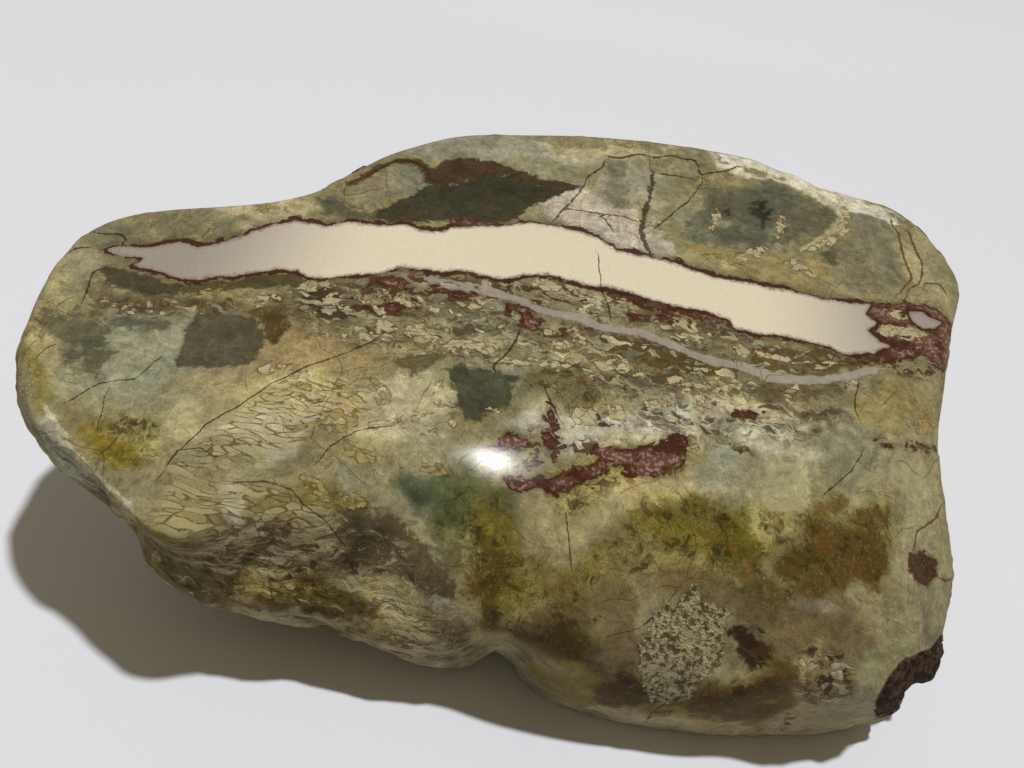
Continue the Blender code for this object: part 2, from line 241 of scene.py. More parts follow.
# Pale flakes of chalcedony and bleached jasper: centre, half width, half height, turn.
FLAKES = [
    (315, 283, 10, 3, -20), (326, 281, 6, 3, 20), (386, 325, 8, 6, -20), (364, 337, 6, 5, 10),
    (320, 335, 9, 3, -5), (344, 333, 3, 4, 20), (420, 333, 11, 5, 15), (436, 339, 6, 3, 30),
    (468, 346, 14, 2.5, 5), (488, 349, 9, 3, -5), (450, 352, 9, 2, 12), (505, 361, 12, 3, 6),
    (530, 360, 9, 2.5, -4), (552, 364, 10, 2.5, 5), (612, 360, 6, 4, -10), (623, 366, 5, 5, 10),
    (650, 376, 9, 2.5, 5), (674, 380, 8, 2.5, -8), (690, 384, 10, 3, 5), (712, 384, 8, 3, 2),
    (728, 389, 12, 2.5, -6), (752, 386, 7, 2.5, -10), (741, 258, 4, 3, 20), (757, 252, 7, 4, 0),
    (798, 266, 9, 5, 20), (808, 272, 6, 2.5, 40), (495, 410, 10, 3.5, -32), (586, 415, 11, 6, 15),
    (615, 411, 9, 6, 30), (700, 403, 5, 6, 0), (664, 405, 7, 3, 10), (742, 352, 5, 7, -30),
    (697, 333, 8, 3, 25), (668, 327, 8, 3, 10), (686, 322, 6, 2.5, 20), (550, 287, 10, 3, 5),
    (574, 292, 8, 3, 20), (597, 301, 7, 3, 10), (560, 300, 5, 2, -10), (380, 311, 9, 2, 32),
    (398, 300, 10, 2, 30), (455, 285, 8, 2, 5), (475, 306, 6, 3, -10), (432, 309, 6, 2, 15),
    (270, 368, 8, 2.5, -15), (296, 373, 8, 3, -5), (388, 425, 14, 2.5, -8), (410, 417, 8, 2.5, -14),
    (342, 306, 6, 2, 30), (330, 300, 5, 2, -30), (300, 292, 8, 2, 5), (262, 297, 10, 1.5, 5),
    (112, 304, 7, 2.5, 8), (132, 309, 8, 2.5, 4), (156, 313, 8, 2, 4), (843, 226, 5, 10, 25),
    (832, 241, 8, 4, -42), (812, 249, 9, 3, -18), (651, 405, 5, 3, 10), (715, 221, 3, 8, 10),
    (781, 226, 4, 8, 20), (900, 315, 8, 4, 5), (895, 332, 24, 5, 3), (430, 432, 4, 2, 0),
    (437, 392, 3, 8, 10), (452, 424, 3, 2, 0), (560, 345, 6, 3, 0), (583, 340, 5, 4, 20),
    (548, 332, 4, 3, 0), (770, 355, 6, 2, 10), (800, 360, 7, 2, 5), (822, 366, 6, 2, 0)]
OCHRE_FLAKES = [
    (316, 420, 12, 4, -20), (336, 415, 10, 5, -10), (352, 421, 6, 7, 20), (342, 431, 7, 2.5, 20),
    (348, 452, 9, 2.5, 25), (368, 459, 11, 3.5, 15), (410, 464, 7, 3, 20), (424, 468, 10, 2.5, 12),
    (312, 484, 7, 3, 30), (322, 494, 9, 2.5, 20), (346, 498, 7, 4, 20), (358, 503, 5, 3, 0),
    (724, 438, 9, 2, 30), (738, 445, 9, 2, 35), (217, 291, 10, 4, 0), (272, 207, 10, 2.5, 10),
    (925, 426, 11, 5, 15), (372, 387, 6, 5, 40), (383, 396, 4, 6, 10), (300, 384, 9, 3, 0),
    (312, 398, 7, 2, 20), (132, 424, 8, 2.5, -5), (150, 451, 3, 2, 0), (720, 258, 8, 2, 10)]

# Zones where the jasper is broken into fragments, bundled like straw, or spotted with moss.
# Each has a softness in pixels and an outline.
NEST = (6, [(800, 650), (836, 648), (858, 664), (852, 700), (826, 712), (800, 700)])
SHARDS = [
    (10, [(300, 290), (400, 282), (480, 290), (600, 326), (700, 350), (870, 384), (850, 396), (740, 400),
     (700, 400), (600, 392), (540, 372), (440, 360), (360, 345), (300, 325)]),
    (8, [(410, 280), (540, 284), (640, 300), (740, 330), (860, 358), (880, 366), (760, 366), (620, 322),
     (520, 298)]),
    (10, [(640, 395), (740, 398), (830, 402), (850, 412), (780, 440), (700, 446), (640, 430)]),
    (8, [(98, 298), (180, 300), (290, 294), (300, 306), (200, 318), (110, 316)]),
    NEST]
STRAW = [
    (7, [(268, 388), (330, 376), (372, 386), (368, 410), (330, 432), (290, 446), (248, 466), (180, 480),
     (166, 472), (192, 446), (235, 412)]),
    (14, [(170, 480), (262, 478), (330, 500), (345, 545), (270, 580), (180, 560), (150, 520)]),
    (10, [(376, 592), (404, 590), (440, 640), (432, 664), (396, 650)])]
MOSS = [
    (18, [(640, 520), (760, 500), (880, 500), (900, 580), (780, 600), (700, 580), (600, 600), (520, 640),
     (470, 600), (470, 540), (560, 560)]),
    (12, [(525, 372), (600, 366), (650, 380), (640, 404), (560, 412), (505, 400)]),
    (14, [(530, 600), (590, 610), (610, 640), (580, 664), (540, 655), (505, 630)]),
    (16, [(640, 505), (720, 500), (760, 530), (720, 565), (640, 560)]),
    (14, [(780, 500), (870, 500), (892, 540), (880, 590), (800, 585), (770, 545)]),
    (12, [(100, 415), (160, 425), (170, 470), (130, 478), (95, 450)]),
    (14, [(440, 480), (510, 500), (520, 560), (505, 610), (465, 590), (440, 530)]),
    (14, [(600, 660), (640, 660), (780, 680), (790, 715), (700, 728), (600, 715)]),
    (14, [(150, 540), (200, 550), (330, 580), (340, 620), (220, 600), (150, 575)]),
    (12, [(520, 470), (640, 440), (700, 430), (690, 480), (560, 510)])]

# Rings of agate seen end on: centre, radius of the outermost ring, spacing.
RINGS = [
    (784, 488, 26, 12), (907, 469, 22, 11)]

# Rough places: the open crusted patch, the dark knob at the right foot, the broken left face.
OPEN_PATCH = [
    (697, 582), (702, 601), (730, 610), (724, 632), (721, 662), (702, 680), (691, 699), (654, 705),
    (641, 688), (637, 651), (648, 632), (654, 614), (680, 597)]
KNOB = [
    (941, 633), (950, 647), (946, 664), (932, 686), (912, 697), (900, 706), (890, 716), (874, 718),
    (876, 700), (888, 676), (904, 657), (931, 648)]
BROKEN = [
    (14, [(150, 535), (200, 545), (250, 520), (300, 508), (350, 505), (400, 540), (452, 600), (490, 660),
     (440, 690), (340, 640), (180, 605), (130, 565)]),
    (6, [(24, 424), (50, 425), (75, 458), (112, 492), (140, 520), (138, 545), (110, 530), (60, 498),
     (30, 460)])]
PITS = [
    (748, 640, 17, 13, 20), (756, 660, 8, 8, 0), (812, 654, 6, 4, 0), (836, 660, 7, 5, 0),
    (826, 682, 5, 8, 0), (848, 678, 4, 6, 0), (741, 449, 5, 2, 20), (737, 690, 3, 5, 0),
    (689, 537, 3, 2, 0), (724, 518, 4, 3, 0), (600, 620, 3, 2, 0), (787, 722, 3, 6, 0), (135, 424, 6, 2, 0),
    (300, 570, 9, 3, -20), (250, 556, 7, 3, 10), (348, 560, 8, 3, 40)]

# Patches of the jasper, and a few of painted highlight, reflection and shade, with an outline of their
# own: colour, strength, softness in pixels, outline.
PATCHES = [
    # left of the middle, under the band
    ("#47422f", 0.95, 1.5, [(98, 266), (112, 266), (128, 270), (150, 276), (166, 283), (184, 285),
     (196, 284), (196, 292), (176, 297), (150, 295), (128, 291), (112, 286), (104, 276)]),
    ("#4c452b", 0.95, 1.5, [(196, 285), (214, 281), (236, 279), (262, 275), (284, 272), (300, 274),
     (308, 281), (300, 287), (280, 286), (262, 289), (240, 290), (215, 293), (200, 293)]),
    ("#6b5b3c", 0.7, 3, [(84, 282), (100, 284), (112, 290), (150, 298), (190, 300), (240, 302), (300, 306),
     (330, 308), (330, 314), (280, 312), (240, 312), (200, 308), (160, 312), (120, 312), (98, 306),
     (88, 296)]),
    ("#28271a", 0.95, 1.5, [(300, 296), (312, 290), (330, 288), (345, 293), (358, 300), (366, 310),
     (356, 318), (340, 322), (322, 318), (308, 308)]),
    ("#45230f", 0.9, 1.2, [(345, 303), (372, 305), (400, 310), (420, 312), (424, 317), (400, 316),
     (370, 314), (350, 312)]),
    ("#55533f", 0.8, 8, [(44, 318), (62, 302), (90, 300), (112, 306), (118, 330), (108, 345), (92, 354),
     (66, 354), (48, 340)]),
    ("#302f25", 0.9, 6, [(66, 318), (82, 312), (104, 318), (104, 338), (88, 348), (68, 342)]),
    ("#535141", 0.85, 4, [(110, 314), (130, 312), (150, 316), (168, 320), (170, 328), (150, 330),
     (125, 330), (110, 328)]),
    ("#56503f", 0.95, 1.8, [(174, 366), (182, 348), (186, 330), (196, 315), (212, 308), (232, 310),
     (250, 318), (262, 330), (266, 342), (258, 354), (248, 362), (240, 367), (210, 368)]),
    ("#54411f", 0.92, 2, [(244, 306), (262, 304), (282, 312), (291, 324), (282, 334), (272, 346),
     (267, 338), (262, 324), (252, 315)]),
    # the dish at the back
    ("#827f69", 0.95, 1.6, [(330, 196), (345, 190), (362, 184), (380, 172), (396, 166), (410, 166),
     (420, 172), (424, 180), (416, 188), (404, 194), (388, 198), (372, 206), (352, 204)]),
    # painted shade: a dark brown streak under the rolled rim, along the dish
    ("#47321f", 0.95, 1.5, [(345, 184), (360, 175), (376, 167), (392, 160), (408, 156), (422, 159),
     (432, 169), (446, 159), (470, 158), (486, 160), (507, 165), (522, 171), (543, 179), (569, 184),
     (584, 184), (582, 190), (562, 192), (540, 186), (510, 178), (490, 172), (470, 180), (440, 186),
     (426, 184), (424, 174), (414, 164), (398, 164), (378, 172), (356, 185)]),
    ("#393628", 0.98, 1.5, [(364, 217), (384, 208), (396, 200), (414, 195), (426, 185), (440, 186),
     (456, 184), (470, 180), (488, 172), (506, 176), (530, 182), (556, 190), (566, 191), (556, 197),
     (546, 203), (530, 208), (518, 219), (500, 223), (470, 222), (430, 223), (400, 223)]),
    ("#4f4d42", 0.85, 4, [(318, 200), (330, 196), (345, 200), (352, 206), (372, 209), (380, 214),
     (372, 220), (345, 220), (325, 216)]),
    # round the gash
    ("#c0b8aa", 0.85, 5, [(545, 216), (560, 208), (580, 200), (600, 192), (615, 196), (632, 200),
     (648, 206), (654, 222), (654, 246), (640, 250), (618, 246), (600, 236), (580, 228), (560, 224)]),
    ("#6c6a59", 0.7, 4, [(606, 160), (622, 158), (628, 190), (626, 212), (612, 212), (606, 190)]),
    # back right
    ("#616250", 0.85, 10, [(690, 226), (704, 204), (724, 188), (750, 180), (784, 182), (812, 196),
     (826, 220), (812, 240), (780, 250), (730, 246), (704, 244)]),
    ("#282a22", 0.96, 5, [(724, 222), (730, 204), (742, 194), (757, 190), (772, 196), (784, 208),
     (786, 222), (778, 234), (762, 240), (744, 238), (732, 234)]),
    ("#86846f", 0.7, 2, [(708, 226), (712, 210), (722, 206), (725, 218), (732, 214), (730, 228),
     (716, 230)]),
    ("#7a7962", 0.6, 4, [(776, 212), (790, 208), (802, 216), (800, 232), (786, 234), (778, 226)]),
    ("#b6af89", 0.9, 2.5, [(838, 210), (846, 214), (847, 226), (838, 236), (824, 246), (808, 253),
     (796, 250), (806, 243), (818, 236), (830, 226), (836, 218)]),
    ("#807d66", 0.9, 3, [(852, 212), (868, 212), (884, 216), (892, 228), (898, 250), (902, 272), (896, 292),
     (862, 290), (838, 284), (828, 272), (836, 252), (848, 240), (854, 226)]),
    ("#3f4033", 0.85, 4, [(820, 253), (832, 250), (848, 262), (846, 273), (830, 268)]),
    ("#9c8c60", 0.92, 4, [(690, 250), (700, 241), (730, 247), (770, 251), (800, 256), (824, 264),
     (830, 282), (800, 282), (760, 273), (720, 264), (700, 258)]),
    ("#ddd8c6", 0.96, 1.2, [(717, 152), (760, 157), (805, 169), (835, 189), (893, 217), (902, 227),
     (870, 218), (835, 204), (800, 185), (755, 168), (722, 162)]),
    ("#c9c6b4", 0.85, 3, [(804, 184), (822, 188), (840, 200), (848, 214), (836, 214), (820, 204)]),
    # between the band and the vein, and below the vein
    ("#6c6955", 0.7, 6, [(420, 298), (455, 302), (480, 316), (506, 336), (502, 348), (470, 342),
     (438, 324)]),
    ("#595338", 0.88, 3, [(394, 366), (402, 352), (424, 350), (444, 354), (436, 366), (412, 374)]),
    ("#3f4232", 0.92, 5, [(442, 402), (446, 386), (462, 376), (490, 373), (508, 384), (514, 396),
     (500, 404), (484, 416), (478, 431), (464, 430), (452, 414)]),
    ("#75735e", 0.7, 7, [(512, 384), (530, 374), (560, 370), (590, 372), (612, 380), (616, 390), (604, 396),
     (590, 400), (560, 402), (530, 400)]),
    ("#5e4719", 0.93, 1.6, [(600, 334), (622, 336), (660, 345), (700, 357), (738, 369), (738, 378),
     (690, 374), (640, 364), (606, 351)]),
    ("#5f4a1f", 0.9, 2, [(744, 358), (770, 346), (800, 350), (835, 352), (858, 364), (830, 373), (780, 373),
     (756, 367)]),
    ("#685c40", 0.85, 3, [(738, 388), (770, 382), (812, 388), (822, 398), (790, 403), (752, 400)]),
    ("#5f4f33", 0.75, 5, [(610, 298), (650, 305), (700, 319), (738, 335), (736, 346), (690, 335),
     (640, 320)]),
    # the front
    ("#b0a67c", 0.92, 2.5, [(750, 470), (765, 458), (785, 454), (806, 464), (815, 486), (808, 508),
     (796, 524), (780, 538), (766, 548), (752, 541), (746, 520), (748, 492)]),
    ("#a3a489", 0.8, 3, [(700, 430), (722, 428), (724, 450), (716, 476), (706, 492), (698, 480),
     (700, 452)]),
    ("#b9ab84", 0.85, 4, [(636, 480), (660, 476), (684, 462), (700, 450), (696, 480), (684, 498),
     (650, 506), (620, 504), (600, 496)]),
    ("#6a5626", 0.85, 4, [(816, 505), (836, 496), (850, 500), (842, 512), (826, 520), (812, 530),
     (804, 528)]),
    ("#7a7045", 0.7, 6, [(560, 560), (590, 540), (620, 545), (640, 570), (620, 590), (580, 592)]),
    ("#7e7361", 0.7, 4, [(780, 596), (810, 594), (850, 604), (860, 616), (830, 622), (796, 614)]),
    ("#8d8a68", 0.8, 3, [(868, 652), (890, 640), (916, 620), (940, 600), (944, 622), (922, 642), (896, 662),
     (876, 690), (862, 700), (856, 676)]),
    ("#3c170a", 0.95, 2, [(908, 553), (922, 550), (934, 560), (938, 577), (928, 588), (914, 582),
     (907, 568)]),
    ("#655a30", 0.8, 5, [(186, 566), (210, 556), (244, 560), (262, 574), (240, 590), (204, 588)]),
    ("#645729", 0.75, 5, [(262, 600), (300, 596), (346, 600), (372, 616), (350, 628), (300, 618),
     (268, 612)]),
    ("#a59b7d", 0.8, 3, [(376, 592), (392, 590), (404, 610), (416, 636), (436, 656), (424, 662), (404, 646),
     (388, 622)]),
    ("#5c5433", 0.85, 3, [(484, 656), (504, 654), (526, 668), (540, 684), (548, 700), (530, 700),
     (508, 686), (488, 670)]),
    ("#485339", 0.65, 8, [(395, 486), (430, 480), (462, 500), (474, 524), (462, 552), (440, 545),
     (416, 520), (400, 505)]),
    ("#4b4029", 0.88, 4, [(300, 508), (322, 512), (352, 506), (376, 512), (402, 524), (426, 548),
     (448, 578), (456, 600), (438, 600), (410, 582), (380, 568), (356, 558), (330, 542), (306, 522)]),
    ("#4b4516", 0.85, 8, [(470, 520), (486, 530), (496, 560), (502, 590), (498, 612), (484, 606),
     (476, 580), (468, 550)]),
    ("#49380f", 0.88, 8, [(512, 625), (540, 612), (575, 616), (592, 636), (588, 660), (560, 668),
     (530, 656)]),
    ("#6f6630", 0.85, 5, [(530, 680), (548, 664), (575, 662), (594, 676), (594, 704), (570, 716),
     (545, 704)]),
    ("#361b0b", 0.9, 6, [(604, 676), (618, 668), (634, 672), (641, 684), (634, 697), (616, 701),
     (604, 692)]),
    ("#4a300c", 0.88, 7, [(688, 700), (712, 690), (745, 688), (787, 694), (782, 712), (745, 719),
     (704, 717)]),
    ("#665c1c", 0.75, 9, [(688, 522), (720, 510), (750, 514), (764, 534), (756, 556), (720, 562),
     (694, 548)]),
    ("#5f4a20", 0.85, 7, [(792, 560), (800, 530), (826, 508), (856, 504), (876, 520), (884, 548),
     (878, 580), (850, 596), (815, 594), (796, 580)]),
    ("#43300f", 0.85, 6, [(794, 566), (802, 548), (816, 530), (822, 545), (814, 566), (800, 578)]),
    ("#67583c", 0.8, 8, [(700, 594), (730, 585), (770, 583), (810, 590), (850, 600), (868, 620), (850, 640),
     (800, 642), (770, 630), (740, 618), (720, 606)]),
    ("#57450f", 0.85, 6, [(768, 664), (795, 660), (804, 680), (800, 712), (782, 716), (770, 696)]),
    ("#3a2311", 0.92, 2.5, [(727, 631), (738, 624), (748, 626), (752, 634), (764, 638), (776, 649),
     (770, 661), (757, 669), (745, 662), (736, 648)]),
    ("#857e61", 0.85, 7, [(880, 590), (912, 574), (940, 586), (946, 620), (930, 640), (905, 648),
     (880, 640), (868, 622)]),
    ("#6f683c", 0.85, 5, [(140, 528), (160, 540), (185, 560), (210, 575), (200, 590), (170, 580),
     (148, 556)]),
    # painted reflection: a whitish sheen on the left of the front
    ("#a39d88", 0.8, 2.5, [(222, 482), (236, 484), (244, 500), (240, 520), (228, 524), (222, 506)]),
    # painted highlight: a thin bright line along the polished edge of the lip
    ("#c4bfad", 0.8, 1.5, [(40, 398), (50, 410), (72, 445), (90, 466), (112, 484), (130, 500), (138, 514),
     (128, 503), (108, 488), (84, 469), (66, 447), (46, 414)]),
    # painted highlight on the small ledge under the lip
    ("#b5ae9a", 0.85, 1.5, [(124, 498), (131, 502), (138, 524), (132, 522)])]

# Zones among the seams where small clots of oxblood lie crowded: a softness and an outline.
CLOTS = [
    (8, [(362, 270), (430, 272), (520, 282), (590, 286), (606, 300), (600, 330), (568, 340), (520, 336),
     (486, 306), (440, 300), (400, 314), (356, 310)]),
    (6, [(590, 284), (660, 300), (735, 318), (742, 334), (700, 330), (640, 318), (596, 300)]),
    (6, [(846, 300), (905, 303), (945, 312), (960, 340), (950, 380), (900, 378), (850, 368), (838, 352)]),
    (8, [(480, 436), (520, 428), (572, 432), (620, 446), (690, 436), (680, 470), (600, 490), (548, 492),
     (520, 470)])]

# Broad tints of the jasper, with a painted hazy reflection on the left of the cut and painted shade
# along a lower rim, laid one over another: colour, centre, half width, half height, turn, strength.
TINTS = [
    # the first grey_green_and_sheen tint, on the left of the cut, is the grey-green jasper with a painted
    # hazy reflection over it
    ("grey_green_and_sheen", 140, 360, 95, 42, -8, 0.95), ("straw", 265, 372, 80, 40, -20, 0.85), ("pale_straw", 235, 425,
    95, 40, -25, 0.85), ("sage", 60, 300, 38, 60, 10, 0.8), ("pale_straw", 48, 330, 14, 50, 8, 0.7),
    ("gold_olive", 34, 390, 12, 54, -16, 0.6), ("khaki", 85, 440, 60, 15, 40, 0.9), ("gold_olive", 120, 456,
    36, 15, 30, 0.9), ("khaki", 190, 470, 60, 18, -10, 0.7), ("dusk", 165, 230, 80, 12, -6, 0.95), ("sand",
    272, 208, 40, 12, -8, 0.95), ("stone", 490, 148, 115, 12, 2, 0.95), ("sand", 615, 148, 60, 6, 4, 0.8),
    ("milk", 600, 222, 50, 24, 22, 0.95), ("milk", 634, 238, 22, 14, 20, 0.7), ("stone", 630, 190, 22, 34,
    0, 0.9), ("moss_grey", 672, 190, 24, 28, 0, 0.9), ("khaki", 690, 246, 44, 12, 15, 0.8), ("ink", 756,
    214, 34, 24, 0, 0.9), ("tan", 752, 262, 60, 12, 14, 0.95), ("sand", 742, 262, 40, 8, 14, 0.6), ("chalk",
    755, 163, 46, 5, 12, 0.95), ("chalk", 822, 186, 34, 7, 25, 0.95), ("chalk", 862, 206, 30, 5, 22, 0.9),
    ("sage", 935, 250, 20, 30, -10, 0.85), ("pale_straw", 914, 250, 14, 40, -14, 0.6), ("tan", 250, 302, 70,
    5, -2, 0.8), ("straw", 135, 310, 50, 7, 4, 0.8), ("straw", 330, 348, 70, 16, -8, 0.8), ("sand", 350,
    330, 50, 10, 10, 0.5), ("pale_sage", 545, 295, 60, 8, 18, 0.7), ("pewter", 480, 300, 60, 12, 20, 0.6),
    ("pale_sage", 600, 296, 40, 10, 14, 0.8), ("lichen", 560, 388, 74, 20, 2, 0.8), ("pale_sage", 640, 386,
    60, 14, 4, 0.8), ("chalk", 660, 418, 100, 16, 2, 0.75), ("pale_sage", 400, 400, 48, 30, 10, 0.7),
    ("sand", 395, 420, 50, 12, -12, 0.7), ("pale_straw", 300, 412, 60, 26, -18, 0.6), ("honey", 330, 416,
    36, 12, -15, 0.7), ("sand", 290, 384, 30, 9, -10, 0.6), ("pale_sage", 760, 425, 80, 28, 5, 0.95),
    ("chalk", 700, 440, 50, 12, 8, 0.45), ("sand", 700, 470, 30, 40, 20, 0.85), ("grey_green_and_sheen", 720, 450, 12, 34,
    10, 0.8), ("pale_sage", 770, 470, 26, 36, 0, 0.7), ("moss_grey", 840, 430, 50, 16, 5, 0.9), ("sage",
    880, 470, 46, 36, 0, 0.8), ("tan", 895, 398, 48, 16, 5, 0.95), ("honey", 922, 420, 18, 9, 10, 0.8),
    ("moss_grey", 860, 460, 40, 18, -20, 0.6), ("chalk", 610, 430, 100, 26, 0, 0.7), ("chalk", 290, 430, 66,
    16, -16, 0.4), ("teal", 450, 498, 66, 22, 8, 0.95), ("olive", 496, 560, 26, 56, -12, 0.95), ("moss",
    492, 592, 14, 28, -10, 0.8), ("buff", 590, 505, 66, 30, -5, 0.95), ("pale_straw", 625, 492, 60, 14, -6,
    0.7), ("olive", 700, 530, 74, 24, 6, 0.9), ("moss", 722, 530, 22, 14, 0, 0.8), ("khaki", 610, 555, 60,
    30, 0, 0.8), ("olive", 560, 570, 44, 22, 0, 0.6), ("mauve", 740, 592, 90, 24, -4, 0.85), ("mauve", 575,
    605, 50, 20, -15, 0.85), ("dark_umber", 560, 640, 44, 28, 10, 0.9), ("moss", 590, 660, 20, 24, 10, 0.7),
    ("mauve", 618, 640, 22, 46, 5, 0.85), ("mauve", 800, 640, 90, 30, 5, 0.7), ("front_buff", 780, 622, 50,
    12, -5, 0.7), ("green_gold", 566, 690, 34, 28, 0, 0.95), ("wine", 620, 688, 26, 18, 10, 0.85), ("ember",
    735, 700, 62, 22, 5, 0.9), ("wine", 725, 702, 26, 12, 5, 0.8), ("olive", 668, 706, 26, 14, 0, 0.8),
    ("rust", 842, 548, 46, 40, 10, 0.95), ("dark_umber", 800, 552, 30, 12, -20, 0.85), ("ember", 862, 566,
    20, 18, 0, 0.7), ("sage", 920, 500, 26, 34, 0, 0.8), ("khaki", 890, 520, 22, 40, -10, 0.7), ("pewter",
    915, 612, 34, 40, 30, 0.9), ("sage", 900, 640, 30, 14, -50, 0.7), ("front_buff", 826, 684, 32, 34, 0,
    0.9), ("bark", 780, 690, 22, 30, 0, 0.7), ("front_buff", 760, 684, 26, 10, 0, 0.6), ("pewter", 870, 696,
    26, 20, 0, 0.8), ("front_buff", 225, 530, 74, 24, 5, 0.9), ("khaki", 190, 500, 60, 14, 8, 0.8),
    ("mauve", 310, 545, 80, 26, 16, 0.9), ("front_buff", 285, 596, 80, 12, 8, 0.9), ("front_buff", 395, 622,
    40, 28, 38, 0.95), ("dark_umber", 330, 612, 46, 14, 4, 0.9), ("olive", 165, 558, 34, 22, 25, 0.9),
    ("moss", 200, 590, 40, 10, 15, 0.7), ("stone", 60, 455, 44, 14, 38, 0.9), ("mauve", 100, 500, 40, 10,
    30, 0.7), ("mauve", 450, 636, 30, 14, 0, 0.7), ("pewter", 452, 660, 40, 18, 0, 0.9), ("dark_umber", 520,
    # the dark_umber strip at 430, 690 is painted shade where the left lobe turns under at its lower rim
    690, 24, 26, 30, 0.8), ("dark_umber", 430, 690, 70, 12, 4, 0.6), ("grey_green_and_sheen", 350, 478, 36, 10, 5, 0.7),
    ("olive", 300, 500, 56, 14, 5, 0.6)]

# Tints of the sides that the photograph doesn't show: colour, place, reach, strength.
HIDDEN_TINTS = [
    ("moss_grey", (60, 140, 90), 70, 0.8), ("mauve", (150, 120, 60), 45, 0.7), ("buff", (-30, 110, 60), 45,
    0.7), ("umber", (10, 120, 100), 26, 0.6), ("slate", (-90, 60, 80), 34, 0.7), ("gold_olive",
    (-150, 20, 70), 34, 0.6), ("umber", (-120, -20, 30), 40, 0.6), ("rust", (100, 130, 40), 30, 0.6),
    ("grey_green_and_sheen", (180, 60, 70), 36, 0.7), ("teal", (-60, 90, 110), 24, 0.6), ("mauve", (190, 0, 40), 30, 0.6),
    ("olive", (40, 100, 20), 46, 0.6), ("stone", (-150, -40, 60), 40, 0.7), ("ember", (190, 30, 80), 20,
    0.5)]

# Colours of the jasper, sRGB. grey_green_and_sheen also carries a painted hazy reflection where it tints the
# left of the cut.
COLOURS = {
    "sage": "#999372", "pale_sage": "#c3bb9c", "moss_grey": "#8f8b6e", "grey_green_and_sheen": "#94947b",
    "pewter": "#8c8870", "stone": "#a29f8a", "dusk": "#7c7961", "slate": "#6a6a52", "ink": "#363629",
    "straw": "#a2906b", "pale_straw": "#b4a87c", "sand": "#bfb591", "khaki": "#8c8360", "buff": "#a89b70",
    "front_buff": "#98895c", "tan": "#94855a", "honey": "#b79e62", "milk": "#d6cbc0", "chalk": "#ddd8c4",
    "umber": "#5a4a2a", "bark": "#4c3a14", "dark_umber": "#3d2c06", "olive": "#766c30",
    "green_gold": "#7a6c2c", "gold_olive": "#837628", "moss": "#5a4d08", "lichen": "#82806c",
    "teal": "#626849", "mauve": "#67573c", "rust": "#5c4616", "ember": "#5d360c", "wine": "#381407"}


# The form, as functions of azimuth and height

def cut_height(y):
    """Height of the cut at depth y: a plane that rises towards the back."""
    return CUT_HEIGHT + math.tan(math.radians(CUT_TILT)) * y


def hermite(share, start, end, start_slope, end_slope):
    """Cubic from start to end with the given slopes, at a share from 0 to 1."""
    square, cube = share ** 2, share ** 3
    return ((2 * cube - 3 * square + 1) * start + (cube - 2 * square + share) * start_slope
            + (3 * square - 2 * cube) * end + (cube - square) * end_slope)


def closed_curve(knots, values):
    """Values at the azimuths ROUND: a closed cubic through the knots, then softened."""
    order = np.argsort(knots)
    knots, values = knots[order], values[order]
    knots = np.concatenate([knots[-3:] - 2 * np.pi, knots, knots[:3] + 2 * np.pi])
    values = np.concatenate([values[-3:], values, values[:3]])
    gap = np.diff(knots)
    rise = np.diff(values) / gap
    slope = np.zeros_like(values)
    slope[1:-1] = (rise[:-1] * gap[1:] + rise[1:] * gap[:-1]) / (gap[:-1] + gap[1:])
    left = np.clip(np.searchsorted(knots, ROUND) - 1, 1, len(knots) - 3)
    share = (ROUND - knots[left]) / gap[left]
    curve = hermite(share, values[left], values[left + 1],
                    gap[left] * slope[left], gap[left] * slope[left + 1])
    span = len(ROUND) // 36
    weight = np.exp(-(np.arange(-span, span + 1) * 10 / span / SOFTENING) ** 2)
    wrapped = np.concatenate([curve[-span:], curve, curve[:span]])
    return np.convolve(wrapped, weight / weight.sum(), "valid")


def outline_curves(outline):
    """Two closed curves of an outline: its reach from the line through HEART, and its height."""
    points = np.array(outline, float)
    across, back = points[:, 0] - HEART[0], points[:, 1] - HEART[1]
    knots = np.arctan2(back, across)
    height = points[:, 2] if points.shape[1] == 3 else cut_height(points[:, 1])
    return closed_curve(knots, np.hypot(across, back)), closed_curve(knots, height)


def read(curve, azimuth):
    """Value of a closed curve at each azimuth."""
    return np.interp(azimuth, ROUND, curve, period=2 * np.pi)


ROUND = np.radians(np.arange(-180, 180, 0.25))
LEVELS = [outline_curves(outline) for outline in (FOOT, LOW, BELLY, RIM)]
EDGE_CURVE = closed_curve(np.radians([place for place, _ in EDGE]), np.array([float(mm) for _, mm in EDGE]))


def meridian(azimuth):
    """Heights and reaches of the side from foot to rim, with the softness of its edge."""
    reaches = [read(reach, azimuth) for reach, _ in LEVELS]
    heights = [read(height, azimuth) for _, height in LEVELS[:3]]
    heights.append(cut_height(HEART[1] + reaches[3] * np.sin(azimuth)))
    return heights, reaches, read(EDGE_CURVE, azimuth)


def side_reach(z, heights, reaches):
    """Reach of the side at height z: a cubic through the four outlines, straight beyond them."""
    gap = [heights[k + 1] - heights[k] for k in range(3)]
    rise = [(reaches[k + 1] - reaches[k]) / gap[k] for k in range(3)]
    slope = [rise[0]]
    for k in (1, 2):
        slope.append((rise[k - 1] * gap[k] + rise[k] * gap[k - 1]) / (gap[k - 1] + gap[k]))
    slope.append(rise[2])
    result = reaches[0] + (z - heights[0]) * slope[0]
    for k in range(3):
        share = np.clip((z - heights[k]) / gap[k], 0, 1)
        span = hermite(share, reaches[k], reaches[k + 1], gap[k] * slope[k], gap[k] * slope[k + 1])
        result = np.where(z >= heights[k], span, result)
    above = reaches[3] + (z - heights[3]) * np.minimum(slope[3], 0)
    return np.where(z > heights[3], above, result)


